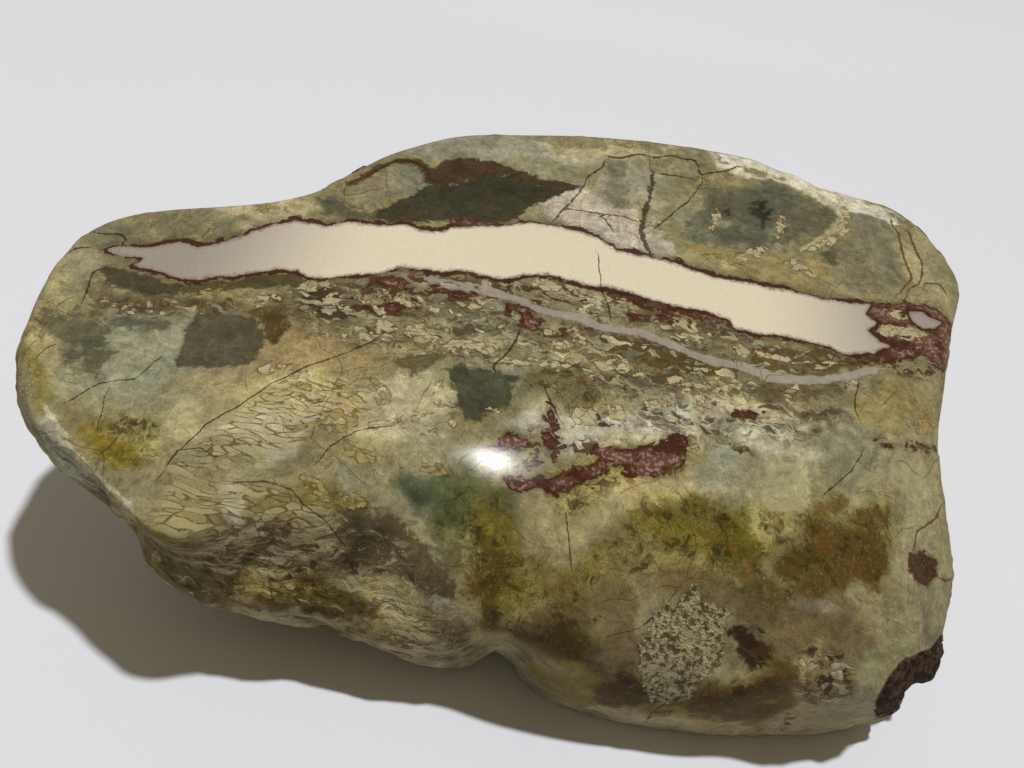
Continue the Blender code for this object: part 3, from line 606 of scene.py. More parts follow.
def soft_max(a, b, softness):
    """The larger of a and b, with the step between them rounded off."""
    share = np.clip(0.5 + 0.5 * (a - b) / softness, 0, 1)
    return b + (a - b) * share + softness * share * (1 - share)


def outside(x, y, z, line):
    """Below zero inside the stone: the soft largest of side, cut and foot, less the relief."""
    heights, reaches, edge = line
    side = np.hypot(x - HEART[0], y - HEART[1]) - side_reach(z, heights, reaches)
    cut = (z - cut_height(y)) * math.cos(math.radians(CUT_TILT))
    value = soft_max(side, cut, edge)
    for lump_x, lump_y, lump_z, size, height in RELIEF:
        square = (x - lump_x) ** 2 + (y - lump_y) ** 2 + (z - lump_z) ** 2
        value = value - height * np.exp(-square / size ** 2)
    return soft_max(value, -z, FOOT_ROUNDING)


def skin(aim):
    """Points of the skin on the rays from HEART through the places aimed at, by halving."""
    ray = aim - HEART
    ray = ray / np.linalg.norm(ray, axis=1)[:, None]
    line = meridian(np.arctan2(ray[:, 1], ray[:, 0]))
    near, far = (np.full(len(ray), reach) for reach in RAY_REACH)
    for _ in range(HALVINGS):
        middle = (near + far) / 2
        x, y, z = (HEART[axis] + ray[:, axis] * middle for axis in range(3))
        out = outside(x, y, z, line) > 0
        near, far = np.where(out, near, middle), np.where(out, middle, far)
    points = HEART + ray * middle[:, None]
    points[:, 2] = np.where(points[:, 2] < FOOT_SNAP, 0.0, points[:, 2])
    return points


def walk(start, end, share):
    """Azimuths that divide the rim evenly by length from start to end (degrees)."""
    azimuth = np.radians(np.linspace(start, end, 400))
    size = read(LEVELS[3][0], azimuth)
    step = np.hypot(np.diff(size * np.cos(azimuth)), np.diff(size * np.sin(azimuth)))
    length = np.concatenate([[0], np.cumsum(step)])
    return np.interp(share * length[-1], length, azimuth)


def plan(level, azimuth):
    """Plan position (x, y) of an outline at each azimuth."""
    size = read(LEVELS[level][0], azimuth)
    return np.stack([HEART[0] + size * np.cos(azimuth), HEART[1] + size * np.sin(azimuth)], -1)


def cut_grid(along, across):
    """Aim points over the cut, (across + 1, along + 1, 3): the blend of the four stretches of
    the rim (a Coons patch), lifted to the slope of the cut."""
    front_left, front_right, back_right, back_left = CORNERS
    u, v = np.linspace(0, 1, along + 1), np.linspace(0, 1, across + 1)
    front, back = plan(3, walk(front_left, front_right, u)), plan(3, walk(back_left, back_right, u))
    left, right = plan(3, walk(front_left, back_left - 360, v)), plan(3, walk(front_right, back_right, v))
    u, v = u[None, :, None], v[:, None, None]
    place = (1 - v) * front[None] + v * back[None] + (1 - u) * left[:, None] + u * right[:, None]
    place = place - ((1 - u) * (1 - v) * front[0] + u * (1 - v) * front[-1]
                     + u * v * back[-1] + (1 - u) * v * back[0])
    return np.concatenate([place, cut_height(place[..., 1:])], -1)


def wall_grid(along, across, rows):
    """Aim points down the side and in over the foot, (rows + FOOT_ROWS, round, 3): azimuths by
    rim length, heights even from the rim to the foot, then reach shrinking to a small ring."""
    front_left, front_right, back_right, back_left = CORNERS
    u, v = np.arange(along) / along, np.arange(across) / across
    azimuth = np.concatenate([walk(front_left, front_right, u), walk(front_right, back_right, v),
                              walk(back_right, back_left, u), walk(back_left, front_left + 360, v)])
    heights, reaches, _ = meridian(azimuth)
    share = 1 - np.arange(1, rows + 1)[:, None] / rows
    z = heights[3] * share
    size = side_reach(z, [h + 0 * z for h in heights], [r + 0 * z for r in reaches])
    on_foot = (1 - np.arange(1, FOOT_ROWS + 1)[:, None] / (FOOT_ROWS + 0.5)) * reaches[0]
    z, size = np.concatenate([z, np.zeros_like(on_foot)]), np.concatenate([size, on_foot])
    return np.stack([HEART[0] + size * np.cos(azimuth), HEART[1] + size * np.sin(azimuth), z], -1)


def stone_grid(along, across, rows):
    """Skin points and faces of the whole stone: the cut's grid, the wall that hangs from its
    border, and a last point that closes the foot."""
    cut, wall = cut_grid(along, across), wall_grid(along, across, rows)
    border = np.arange(cut.shape[0] * cut.shape[1]).reshape(cut.shape[:2])
    ring = np.concatenate([border[0, :-1], border[:-1, -1], border[-1, :0:-1], border[:0:-1, 0]])
    below = border.size + np.arange(wall.shape[0] * wall.shape[1]).reshape(wall.shape[:2])
    rings = np.vstack([ring, below])
    last = border.size + rings[1:].size
    aims = np.vstack([cut.reshape(-1, 3), wall.reshape(-1, 3), [[HEART[0], HEART[1], 0.0]]])
    top = np.stack([border[:-1, :-1], border[:-1, 1:], border[1:, 1:], border[1:, :-1]], -1)
    after = np.roll(rings, -1, axis=1)
    side = np.stack([rings[:-1], rings[1:], after[1:], after[:-1]], -1)
    fan = np.stack([rings[-1], np.full(len(ring), last), after[-1]], -1)
    return skin(aims), np.vstack([top.reshape(-1, 4), side.reshape(-1, 4)]), fan


# Noise and distances on whole arrays

HASH_STEPS = (127.1, 311.7, 74.7)      # uneven steps and a large scale, so that knots next to each
HASH_SCALE = 43758.5453                # other get unlike numbers
LAYER_STEP = 57.3                      # keeps the layers of a noise from lining up


def lattice_noise(points, size):
    """Smooth noise from -1 to 1: hashed values on a lattice of that size, blended by cubics."""
    cell = np.floor(points / size)
    share = points / size - cell
    share = share * share * (3 - 2 * share)
    total = np.zeros(len(points))
    for corner in np.ndindex(2, 2, 2):
        knot = cell + corner
        hashed = np.sin(knot @ np.array(HASH_STEPS)) * HASH_SCALE
        weight = np.prod(np.where(np.array(corner) == 1, share, 1 - share), axis=1)
        total += weight * (2 * (hashed - np.floor(hashed)) - 1)
    return total


def layered_noise(points, size, layers=3):
    """Sum of lattice noises, each half the size and half the strength of the one before."""
    return sum(lattice_noise(points + LAYER_STEP * k, size / 2 ** k) / 2 ** k for k in range(layers))


def smooth(low, high, value):
    """0 below low, 1 above high and an S-curve between."""
    share = np.clip((value - low) / (high - low), 0, 1)
    return share * share * (3 - 2 * share)


def camera_axes():
    """The camera's right, down and ahead as unit vectors: pitched, then rolled."""
    pitch, roll = math.radians(CAMERA_PITCH), math.radians(CAMERA_ROLL)
    level = np.array([1.0, 0.0, 0.0])
    upright = np.array([0.0, math.sin(pitch), math.cos(pitch)])
    ahead = np.array([0.0, math.cos(pitch), -math.sin(pitch)])
    right = math.cos(roll) * level + math.sin(roll) * upright
    down = math.sin(roll) * level - math.cos(roll) * upright
    return right, down, ahead


def photo_place(points):
    """Pixels where points show in the photograph, and the millimetres that a pixel spans there."""
    right, down, ahead = camera_axes()
    away = points - np.array(CAMERA_AT)
    depth = away @ ahead
    place = np.stack([IMAGE_WIDTH / 2 + FOCAL_PIXELS * (away @ right) / depth,
                      IMAGE_HEIGHT / 2 + FOCAL_PIXELS * (away @ down) / depth], -1)
    return place, depth / FOCAL_PIXELS


def stretch_distance(place, start, end):
    """Distance and side of each place from a straight stretch, and how far along it is nearest."""
    start, run = np.array(start, float), np.array(end, float) - start
    offset = place - start
    share = np.clip(offset @ run / (run @ run), 0, 1)
    distance = np.linalg.norm(offset - share[:, None] * run, axis=1)
    return distance, np.sign(run[0] * offset[:, 1] - run[1] * offset[:, 0]), share


def inside_depth(place, outline):
    """Depth inside a closed outline in pixels, negative outside it: nearest stretch, with the
    sign from how often a ray to the right crosses the outline."""
    nearest = np.full(len(place), np.inf)
    crossed = np.zeros(len(place), bool)
    for start, end in zip(outline, outline[1:] + outline[:1]):
        nearest = np.minimum(nearest, stretch_distance(place, start, end)[0])
        if start[1] != end[1]:
            spans = (place[:, 1] < start[1]) != (place[:, 1] < end[1])
            meets = start[0] + (place[:, 1] - start[1]) * (end[0] - start[0]) / (end[1] - start[1])
            crossed ^= spans & (place[:, 0] < meets)
    return np.where(crossed, nearest, -nearest)


def ellipse_depth(place, x, y, half_width, half_height, turn=0.0):
    """Rough depth inside an ellipse in pixels: one less the scaled distance, by the lesser radius."""
    angle = math.radians(turn)
    dx, dy = place[:, 0] - x, place[:, 1] - y
    along = dx * math.cos(angle) + dy * math.sin(angle)
    across = dy * math.cos(angle) - dx * math.sin(angle)
    return (1 - np.hypot(along / half_width, across / half_height)) * min(half_width, half_height)


def deepest(place, shapes, scale, shown):
    """Greatest depth in any of the shapes, in millimetres, less where the photograph doesn't
    show the skin. A tuple is an ellipse and a list is an outline."""
    depths = [ellipse_depth(place, *shape) if isinstance(shape, tuple) else inside_depth(place, shape)
              for shape in shapes]
    return np.max(depths, axis=0) * scale - OUT_OF_SIGHT * (1 - shown)


def line_distance(place, line):
    """Distance from an open line in pixels, the side (1 on its right hand, -1 on its left), and
    how far along the line its nearer end is."""
    nearest, side, along = np.full(len(place), np.inf), np.ones(len(place)), np.zeros(len(place))
    walked = 0.0
    for start, end in zip(line, line[1:]):
        distance, hand, share = stretch_distance(place, start, end)
        length = math.dist(start, end)
        closer = distance < nearest
        nearest, side = np.where(closer, distance, nearest), np.where(closer, hand, side)
        along = np.where(closer, walked + share * length, along)
        walked += length
    return nearest, np.where(side == 0, 1, side), np.minimum(along, walked - along)


def linear(colour):
    """Linear red, green and blue of an sRGB hex colour."""
    parts = np.array([int(colour[k:k + 2], 16) / 255 for k in (1, 3, 5)])
    return np.where(parts <= 0.04045, parts / 12.92, ((parts + 0.055) / 1.055) ** 2.4)


# Markings on the skin

def shown_share(points, normals):
    """1 where the photograph shows the skin and 0 where it is turned away."""
    view = np.array(CAMERA_AT) - points
    facing = (view * normals).sum(1) / np.linalg.norm(view, axis=1)
    return smooth(0.0, 0.16, facing)


def soft_zone(place, zones):
    """Largest of several zones, each its softness in pixels and an outline: 0 outside, 1 inside."""
    return np.max([smooth(-soft, soft, inside_depth(place, outline)) for soft, outline in zones], axis=0)


def far_zone(points, seed, shown):
    """The same sort of zone on the sides out of sight, from slow noise."""
    return smooth(0.35, 0.8, layered_noise(points + seed, 55)) * (1 - shown)


def wandering(points, reach, size, seeds):
    """Shifts across and down in the photograph, of about this reach in pixels, from noise of this
    size in millimetres."""
    return reach * np.stack([layered_noise(points + seed, size) for seed in seeds], -1)


def tint(points, moved, shown):
    """Ground colour: broad tints of jasper, with a painted hazy reflection and painted shade, laid one over
    another.
    """
    mix = smooth(-0.7, 0.7, layered_noise(points + 13.0, 46))[:, None]
    colour = (1 - mix) * linear(COLOURS["sage"]) + mix * linear(COLOURS["khaki"])
    for name, centre, size, strength in HIDDEN_TINTS:
        distance = np.linalg.norm(points - centre, axis=1) / size + 0.4 * layered_noise(points, 20)
        share = strength * smooth(1.2, 0.4, distance) * (1 - shown)
        colour += share[:, None] * (linear(COLOURS[name]) - colour)
    for name, x, y, half_width, half_height, turn, strength in TINTS:
        depth = ellipse_depth(moved, x, y, half_width, half_height, turn) / min(half_width, half_height)
        share = strength * smooth(-0.3, 0.3, depth) * shown
        colour += share[:, None] * (linear(COLOURS[name]) - colour)
    return colour


def patched(place, loose, scale, shown, ground):
    """The patch that each point lies deepest in or nearest to: its colour laid over the ground,
    its depth in softnesses, and one over its softness in millimetres. Soft ones are read at the
    loose place, so that they wander."""
    best, colour = np.full(len(place), -np.inf), ground.copy()
    depths, sharpness = np.zeros(len(place)), np.ones(len(place))
    for tone, strength, soft, outline in PATCHES:
        depth = deepest(place if soft < LEAST_LOOSE else loose, [outline], scale, shown)
        soft = soft * scale
        value = np.minimum(depth / soft, 3.0)
        closer = value > best
        best = np.where(closer, value, best)
        laid = ground + strength * (linear(tone) - ground)
        colour = np.where(closer[:, None], laid, colour)
        depths, sharpness = np.where(closer, depth / soft, depths), np.where(closer, 1 / soft, sharpness)
    return colour, depths, sharpness


def band_depth(points, place, scale, shown):
    """Depth in the cream band in millimetres. Round the right end, where it is out of sight, it
    runs on down as an upright sheet that thins out."""
    below = cut_height(points[:, 1]) - points[:, 2]
    from_sheet = np.abs(points[:, 1] - 30 + 0.2 * below + 3 * layered_noise(points, 30))
    on_right_end = (points[:, 0] > 150) & (shown < 0.5)
    sheet = np.where(on_right_end, 5 - 0.06 * below - from_sheet, -OUT_OF_SIGHT)
    return np.maximum(deepest(place, BAND, scale, shown), sheet)


def crack_offset(place, scale, shown, lines):
    """Offset from the nearest line in its own widths, signed by side, and the distance from it
    in millimetres. Both grow past a line's ends and out of sight, so that it runs out there."""
    best, reach = np.full(len(place), NO_CRACK), np.full(len(place), NO_CRACK)
    for half, line in lines:
        nearest, side, to_end = line_distance(place, line)
        offset = nearest * scale + 2.5 * smooth(9, 0, to_end) + OUT_OF_SIGHT * (1 - shown)
        reach = np.minimum(reach, offset)
        offset = offset / (2 * half * scale)
        best = np.where(offset < np.abs(best), offset * side, best)
    return best, reach


def vein_offset(place, scale, shown):
    """Offset from the vein's middle line in millimetres, signed by side. It grows past the line's
    ends and out of sight."""
    nearest, side, _ = line_distance(place, VEIN)
    past = smooth(6, -6, place[:, 0] - VEIN[0][0]) + smooth(-6, 6, place[:, 0] - VEIN[-1][0])
    return side * (nearest * scale + 4 * past + OUT_OF_SIGHT * (1 - shown))


def ring_lines(place, shown):
    """Distance from the nearest ring centre in ring spacings, and a share that ends the rings."""
    best, turns = np.full(len(place), -np.inf), np.zeros(len(place))
    for x, y, radius, spacing in RINGS:
        distance = np.hypot(place[:, 0] - x, (place[:, 1] - y) * 0.85)
        closer = 1 - distance / radius > best
        best = np.where(closer, 1 - distance / radius, best)
        turns = np.where(closer, distance / spacing, turns)
    return turns, smooth(-0.05, 0.15, best) * shown


def rough_depths(place, scale, shown):
    """Depth in the open patch and in the knob in millimetres."""
    knob = inside_depth(place, KNOB) * scale - OUT_OF_SIGHT / 2 * (1 - shown)
    return deepest(place, [OPEN_PATCH], scale, shown), knob


def markings(points, normals):
    """All attributes of the skin, by name, three values a point."""
    place, scale = photo_place(points)
    shown = shown_share(points, normals)
    wander = wandering(points, 1.8, 9, (0.0, 31.0))
    moved = place + wander
    loose = place + wandering(points, 16, 20, (0.0, 91.0)) + wandering(points, 8, 7, (5.0, 47.0))
    turns, rings = ring_lines(moved, shown)
    shards, straw, moss, clots = (
        soft_zone(at, named) * shown + far_zone(points, seed, shown)
        for at, named, seed in ((0.5 * (moved + loose), SHARDS, 140.0), (moved, STRAW, 260.0),
                                (loose, MOSS, 380.0), (moved, CLOTS, 520.0)))
    ground = tint(points, loose, shown)
    patch, patch_depth, sharpness = patched(place + 0.4 * wander, loose, scale, shown, ground)
    (crack, crack_reach), (branch, branch_reach) = (
        crack_offset(moved, scale, shown, lines) for lines in (CRACKS, BRANCHES))
    near_crack = smooth(4.5, 2.5, np.minimum(crack_reach, branch_reach))
    opened, knob = rough_depths(moved, scale, shown)
    columns = {
        "patch_edge": (patch_depth, sharpness, clots),
        "seams": (band_depth(points, place + 0.5 * wander, scale, shown), vein_offset(moved, scale, shown),
                  deepest(moved, SEAMS, scale, shown)),
        "zones": (shards, straw, moss),
        "cracks": (crack, branch, near_crack),
        "flakes": [deepest(moved, shapes, scale, shown) for shapes in (FLAKES, OCHRE_FLAKES, PITS)],
        "rough": (opened, knob, np.maximum(soft_zone(moved, BROKEN) * shown, 1 - shown)),
        "rings": (turns, rings, np.zeros_like(rings))}
    return {"ground": ground, "patch": patch, **{name: np.stack(part, -1) for name, part in columns.items()}}


def point_normals(points, quads):
    """Unit normals of grid points: the sum of the cross products of their quads' diagonals."""
    diagonals = np.cross(points[quads[:, 2]] - points[quads[:, 0]], points[quads[:, 3]] - points[quads[:, 1]])
    total = np.zeros_like(points)
    for corner in range(4):
        for axis in range(3):
            total[:, axis] += np.bincount(quads[:, corner], diagonals[:, axis], len(points))
    return total / (np.linalg.norm(total, axis=1)[:, None] + 1e-9)


def weathered(points, normals, depth):
    """Points moved along their normals by fine relief in millimetres: broken rock on the left
    face and the hidden sides, a crust on the open patch, a rind on the knob, the nest of
    fragments, pits, the gash, a chipped foot and a faint swell. The foot itself stays flat."""
    place, scale = photo_place(points)
    shown = shown_share(points, normals)
    broken = np.maximum(soft_zone(place, BROKEN) * shown, 0.8 * (1 - shown))
    splinter = layered_noise(points * (0.5, 1.0, 1.6) + 17.0, 8)
    lift = broken * (1.3 * layered_noise(points, 15) - 0.9 * np.abs(splinter))
    opened, knob = (smooth(-0.8, 0.8, depth_in) for depth_in in rough_depths(place, scale, shown))
    lift += opened * (0.5 * layered_noise(points + 29.0, 3.2, 2) - 0.4)
    lift += knob * (0.8 + 0.9 * layered_noise(points + 43.0, 5, 2))
    lift += soft_zone(place, [NEST]) * shown * 0.9 * layered_noise(points + 83.0, 6, 2)
    for pit in PITS:
        lift -= 1.2 * smooth(-0.5, 1.5, deepest(place, [pit], scale, shown))
    lift -= 0.8 * smooth(1.8, 0.4, line_distance(place, GASH[1])[0] * scale) * shown
    lift += smooth(26, 8, points[:, 2]) * 0.9 * layered_noise(points + 61.0, 9, 2)
    lift += 0.15 * layered_noise(points + 71.0, 36, 2)
    off_foot = smooth(0.3, 3.0, points[:, 2])
    return points + normals * (depth * lift * off_foot)[:, None]


# Materials

# Noises of the jasper, each on the scale of the real pattern: its name, the place it reads, its
# size in millimetres, detail and roughness. A warped place has drifted slowly, and a bent one has
# drifted quickly as well. Jasper's own grain is far too fine to show, so grain and crumb are as
# coarse as the smallest specks that the eye picks out.
NOISES = [
    ("clouds", "warped", 19, 5.0, 0.62), ("mottle", "warped", 3.6, 3.0, 0.7),
    ("grain", "place", 0.8, 1.0, 0.6), ("ragged", "place", 5, 3.0, 0.72),
    ("drift", "warped", 40, 2.0, 0.6), ("veining", "bent", 13, 5.0, 0.66),
    ("crumb", "place", 1.5, 1.0, 0.6), ("moss", "bent", 6, 4.0, 0.78)]
DRIFTS = [("warped", "place", 14, 1.0, 8.0), ("bent", "warped", 4, 0.0, 4.0)]   # moved last, in mm

# Cells, in millimetres: those that chip the edges, the lenses of straw and two sorts of fragment,
# each with the random number below which a cell is left out and how far it is drawn out.
CHIP_SIZE = 2.6
STRAW_SIZE = 2.3
FRAGMENT_SIZES = [(2.4, 0.35, 0.4), (4.2, 0.55, 0.3)]
FRAGMENT_SHADES = ["#98937a", "#c0b58e", "#6e6a51", "#aca583", "#776547", "#9b967a", "#544e39", "#c8bd98"]
BAND_MIDDLE = 0.015            # where the cream is warmest along the stone, in metres
QUARTZ_IOR = 1.54


def node(tree, kind, inputs=None, out=None, **settings):
    """Adds a node. inputs maps its sockets to values or to other nodes' outputs, settings are
    its properties, and out names the output to return in place of the node."""
    made = tree.nodes.new("ShaderNode" + kind)
    for name, value in settings.items():
        setattr(made, name, value)
    for key, value in (inputs or {}).items():
        if isinstance(value, bpy.types.NodeSocket):
            tree.links.new(value, made.inputs[key])
        else:
            made.inputs[key].default_value = value
    return made if out is None else made.outputs[out]


def rgba(colour):
    """Linear colour with full alpha from a hex string or a property."""
    parts = linear(colour) if isinstance(colour, str) else colour
    return (*(float(part) for part in parts[:3]), 1.0)


def per_metre(millimetres):
    """Scale of a texture whose pattern repeats at about this size."""
    return 1000.0 / millimetres


def laid_over(add, colour, tone, share, most=1.0):
    """Colour with a tone laid over it by a share, times the most that it may reach."""
    if most < 1.0:
        share = add("Math", {0: share, 1: most}, operation="MULTIPLY", out=0)
    colour, tone = (rgba(part) if isinstance(part, str) else part for part in (colour, tone))
    return add("Mix", {0: share, 6: colour, 7: tone}, data_type="RGBA", out=2)


def share_of(add, value, low, high, zone=None):
    """Share of a pattern: 0 where its value is below low, 1 above high and an S-curve between,
    times a zone if one is given. It falls instead where high is below low."""
    share = add("MapRange", {"Value": value, 1: low, 2: high}, interpolation_type="SMOOTHSTEP", out=0)
    return share if zone is None else add("Math", {0: share, 1: zone}, operation="MULTIPLY", out=0)


def roughened(add, depth, noise, amounts):
    """Depth whose level lines are broken up: each named noise is added, times its amount."""
    for name, amount in amounts.items():
        depth = add("Math", {0: noise[name], 1: amount, 2: depth}, operation="MULTIPLY_ADD", out=0)
    return depth


def brightness(add, noise, spans, ends=(0.3, 0.7)):
    """Product of the named noises, each spread from the low to the high of its span."""
    total = None
    for name, (low, high) in spans.items():
        part = add("MapRange", {"Value": noise[name], 1: ends[0], 2: ends[1], 3: low, 4: high}, out=0)
        total = part if total is None else add("Math", {0: total, 1: part}, operation="MULTIPLY", out=0)
    return total


def lit(add, colour, light):
    """Colour times a brightness, or times a factor for each of red, green and blue."""
    colour = colour if isinstance(colour, bpy.types.NodeSocket) else rgba(colour)[:3]
    if isinstance(light, tuple):
        return add("VectorMath", {0: colour, 1: light}, operation="MULTIPLY", out=0)
    return add("VectorMath", {0: colour, "Scale": light}, operation="SCALE", out=0)


def wisps(add, value, middle, width, core, zone):
    """Thin winding lines where a noise passes its middle value, full within core of the width."""
    gap = add("Math", {0: value, 1: -middle}, out=0)
    gap = add("Math", {0: gap}, operation="ABSOLUTE", out=0)
    return share_of(add, gap, width, width * core, zone)


def drawn_cells(add, place, size, turn, stretch):
    """Voronoi cells of a size in millimetres, drawn out along a line at this turn in degrees:
    three random numbers for each cell, and the distance to its border in cells."""
    drawn = add("Mapping", {"Vector": place, "Rotation": (0.0, 0.0, math.radians(turn)),
                            "Scale": (stretch, 1.0, 1.0)}, out=0)
    inputs = {"Vector": drawn, "Scale": per_metre(size)}
    pick = add("SeparateXYZ", {0: add("TexVoronoi", inputs, feature="F1", out="Color")}).outputs
    return pick, add("TexVoronoi", inputs, feature="DISTANCE_TO_EDGE", out="Distance")


def jasper_noises(add, place):
    """The noises by name, from 0 to 1, and the places that they read. Edge and chip run from
    -0.5 to 0.5. Chip and clot are random numbers of the small cells, and joint is the distance
    to their borders."""
    places = {"place": place}
    for name, start, size, detail, reach in DRIFTS:
        drift = add("TexNoise", {"Vector": place, "Scale": per_metre(size), "Detail": detail}, out="Color")
        drift = add("VectorMath", {0: drift, 1: (0.5, 0.5, 0.5)}, operation="SUBTRACT", out=0)
        places[name] = add("VectorMath", {0: drift, 1: (reach * MM,) * 3, 2: places[start]},
                           operation="MULTIPLY_ADD", out=0)
    noise = dict(places)
    for name, vector, size, detail, harsh in NOISES:
        noise[name] = add("TexNoise", {"Vector": places[vector], "Scale": per_metre(size), "Detail": detail,
                                       "Roughness": harsh}, out="Fac")
    noise["edge"] = add("Math", {0: noise["ragged"], 1: -0.5}, out=0)
    pick, noise["joint"] = drawn_cells(add, noise["bent"], CHIP_SIZE, 8, 0.5)
    noise["chip"] = add("Math", {0: pick[0], 1: -0.5}, out=0)
    noise["clot"] = pick[1]
    return noise


def patched_ground(add, patch_edge, noise):
    """Ground colour with the patches laid over it. Their depth, in softnesses, is broken up by
    the noises, and by the ragged one the more the sharper a patch is."""
    ground, patch = (add("Attribute", attribute_name=name, out="Color") for name in ("ground", "patch"))
    depth, sharpness = patch_edge[0], patch_edge[1]
    rag = add("Math", {0: sharpness, 1: noise["edge"]}, operation="MULTIPLY", out=0)
    rag = add("Math", {0: rag, 1: 2.4, 2: depth}, operation="MULTIPLY_ADD", out=0)
    rag = roughened(add, rag, noise, {"chip": 1.6, "veining": 7.0, "moss": 5.0})
    usual = (7.0 + 5.0) / 2    # what veining and moss add on average
    return laid_over(add, ground, patch, share_of(add, rag, usual - 1.0, usual + 1.0))


def clouded(add, ground, noise):
    """Cloudy jasper: lighter and darker clouds, mottling and grain, darker bodies with crisp
    edges, warmer and cooler drifts, brown wisps of iron and pale wisps of silica."""
    light = brightness(add, noise, {"clouds": (0.74, 1.24), "mottle": (0.72, 1.24), "grain": (0.84, 1.14),
                                    "moss": (0.72, 1.22)})
    bodies = add("MapRange", {"Value": share_of(add, noise["veining"], 0.5, 0.53), 3: 1.05, 4: 0.88}, out=0)
    light = add("Math", {0: light, 1: bodies}, operation="MULTIPLY", out=0)
    colour = lit(add, ground, light)
    drift = add("MapRange", {"Value": noise["drift"], 1: 0.36, 2: 0.62}, out=0)
    cool, warm = lit(add, colour, (0.98, 1.0, 0.99)), lit(add, colour, (1.05, 0.99, 0.84))
    colour = laid_over(add, cool, warm, drift)
    patchy = share_of(add, noise["drift"], 0.46, 0.6)
    for name, tone, middle, width, most in (("clouds", "#3d3215", 0.5, 0.01, 0.4),
                                            ("veining", "#4a3a18", 0.47, 0.01, 0.5),
                                            ("veining", "#bdb592", 0.56, 0.012, 0.18)):
        colour = laid_over(add, colour, tone, wisps(add, noise[name], middle, width, 0.2, patchy), most)
    return colour, light


def moss_spots(add, colour, zone, noise):
    """Mossy jasper, warmer than the rest: ragged clots and specks of green-black and rust,
    crowded in a zone, with pale crumbs between and thin dark wisps."""
    colour = laid_over(add, colour, lit(add, colour, (1.0, 0.97, 0.74)), zone)
    crowd = add("Math", {0: zone, 1: 0.07, 2: noise["moss"]}, operation="MULTIPLY_ADD", out=0)
    for tone, value, low, high, most in (("#463c14", crowd, 0.56, 0.61, 0.55),
                                         ("#2a2209", crowd, 0.635, 0.67, 0.7),
                                         ("#6b4312", noise["veining"], 0.58, 0.62, 0.4),
                                         ("#a79c6e", noise["crumb"], 0.62, 0.7, 0.15)):
        colour = laid_over(add, colour, tone, share_of(add, value, low, high, zone), most)
    for name, middle, width in (("moss", 0.5, 0.008), ("veining", 0.52, 0.006), ("clouds", 0.46, 0.005)):
        colour = laid_over(add, colour, "#2f2a12", wisps(add, noise[name], middle, width, 0.3, zone), 0.55)
    return colour


def straw_lines(add, colour, zone, noise):
    """Bundled jasper: long thin lenses with thin brown outlines, from Voronoi cells drawn out
    along the bundle, some paler and some stained with honey."""
    pick, edge = drawn_cells(add, noise["warped"], STRAW_SIZE, -14, 0.15)
    colour = laid_over(add, colour, "#a48f5c", share_of(add, pick[0], 0.8, 0.84, zone), 0.3)
    colour = laid_over(add, colour, "#b8ac80", share_of(add, pick[1], 0.5, 0.55, zone), 0.45)
    rag = roughened(add, edge, noise, {"edge": 0.12})
    broken_off = share_of(add, noise["mottle"], 0.4, 0.5, zone)
    return laid_over(add, colour, "#453815", share_of(add, rag, 0.1, 0.03, broken_off), 0.75)


def fragment_tones(add, pick):
    """One of the fragments' shades for each random number from 0 to 1."""
    tones = add("ValToRGB", {0: pick})
    tones.color_ramp.interpolation = "CONSTANT"
    while len(tones.color_ramp.elements) < len(FRAGMENT_SHADES):
        tones.color_ramp.elements.new(0.5)
    for index, shade in enumerate(FRAGMENT_SHADES):
        tones.color_ramp.elements[index].position = index / len(FRAGMENT_SHADES)
        tones.color_ramp.elements[index].color = rgba(shade)
    return tones.outputs[0]


def fragments(add, colour, light, zone, noise, size, least, stretch):
    """Brecciated jasper: slivers of many tones in a dark matrix. Voronoi cells drawn out along
    the band and bent by noise, each with its own tone and a dark or rusty outline, and left out
    where their own random number is below least."""
    pick, edge = drawn_cells(add, noise["bent"], size, 12, stretch)
    rag = roughened(add, edge, noise, {"edge": 0.3})
    kept = share_of(add, pick[1], least, least + 0.03, zone)
    colour = laid_over(add, colour, "#4b4228", share_of(add, noise["clouds"], 0.6, 0.42, zone), 0.22)
    rim_tone = laid_over(add, "#37301a", "#4c2715", pick[2])
    colour = laid_over(add, colour, rim_tone, share_of(add, rag, 0.05, 0.1, kept), 0.62)
    tone = lit(add, fragment_tones(add, pick[0]), light)
    return laid_over(add, colour, tone, share_of(add, rag, 0.13, 0.18, kept), 0.88)


def agate_rings(add, colour, turns, share, noise):
    """Rings of agate seen end on: pale bands round a centre, a cosine of the distance in turns."""
    wobble = roughened(add, turns, noise, {"edge": 0.9})
    wave = add("Math", {0: wobble, 1: 2 * math.pi}, operation="MULTIPLY", out=0)
    wave = add("Math", {0: wave}, operation="COSINE", out=0)
    wave = add("MapRange", {"Value": wave, 1: 1.0, 2: -1.0, 3: 0.1, 4: 0.5}, out=0)
    wave = add("Math", {0: wave, 1: share}, operation="MULTIPLY", out=0)
    return laid_over(add, colour, "#aba47f", wave)


def broken_rock(add, colour, zone, noise):
    """Broken rock: fibrous streaks of dark brown and pale buff. Returns the streaks' noise as
    well, for the relief."""
    fibre = add("Mapping", {"Vector": noise["bent"], "Rotation": (0.0, math.radians(24), 0.0),
                            "Scale": (0.3, 1.0, 1.0)}, out=0)
    fibre = add("TexNoise", {"Vector": fibre, "Scale": per_metre(4.5), "Detail": 4.0, "Roughness": 0.76},
                out="Fac")
    colour = laid_over(add, colour, "#352c17", share_of(add, fibre, 0.47, 0.4, zone), 0.55)
    colour = laid_over(add, colour, "#b3a783", share_of(add, fibre, 0.55, 0.64, zone), 0.6)
    return colour, fibre


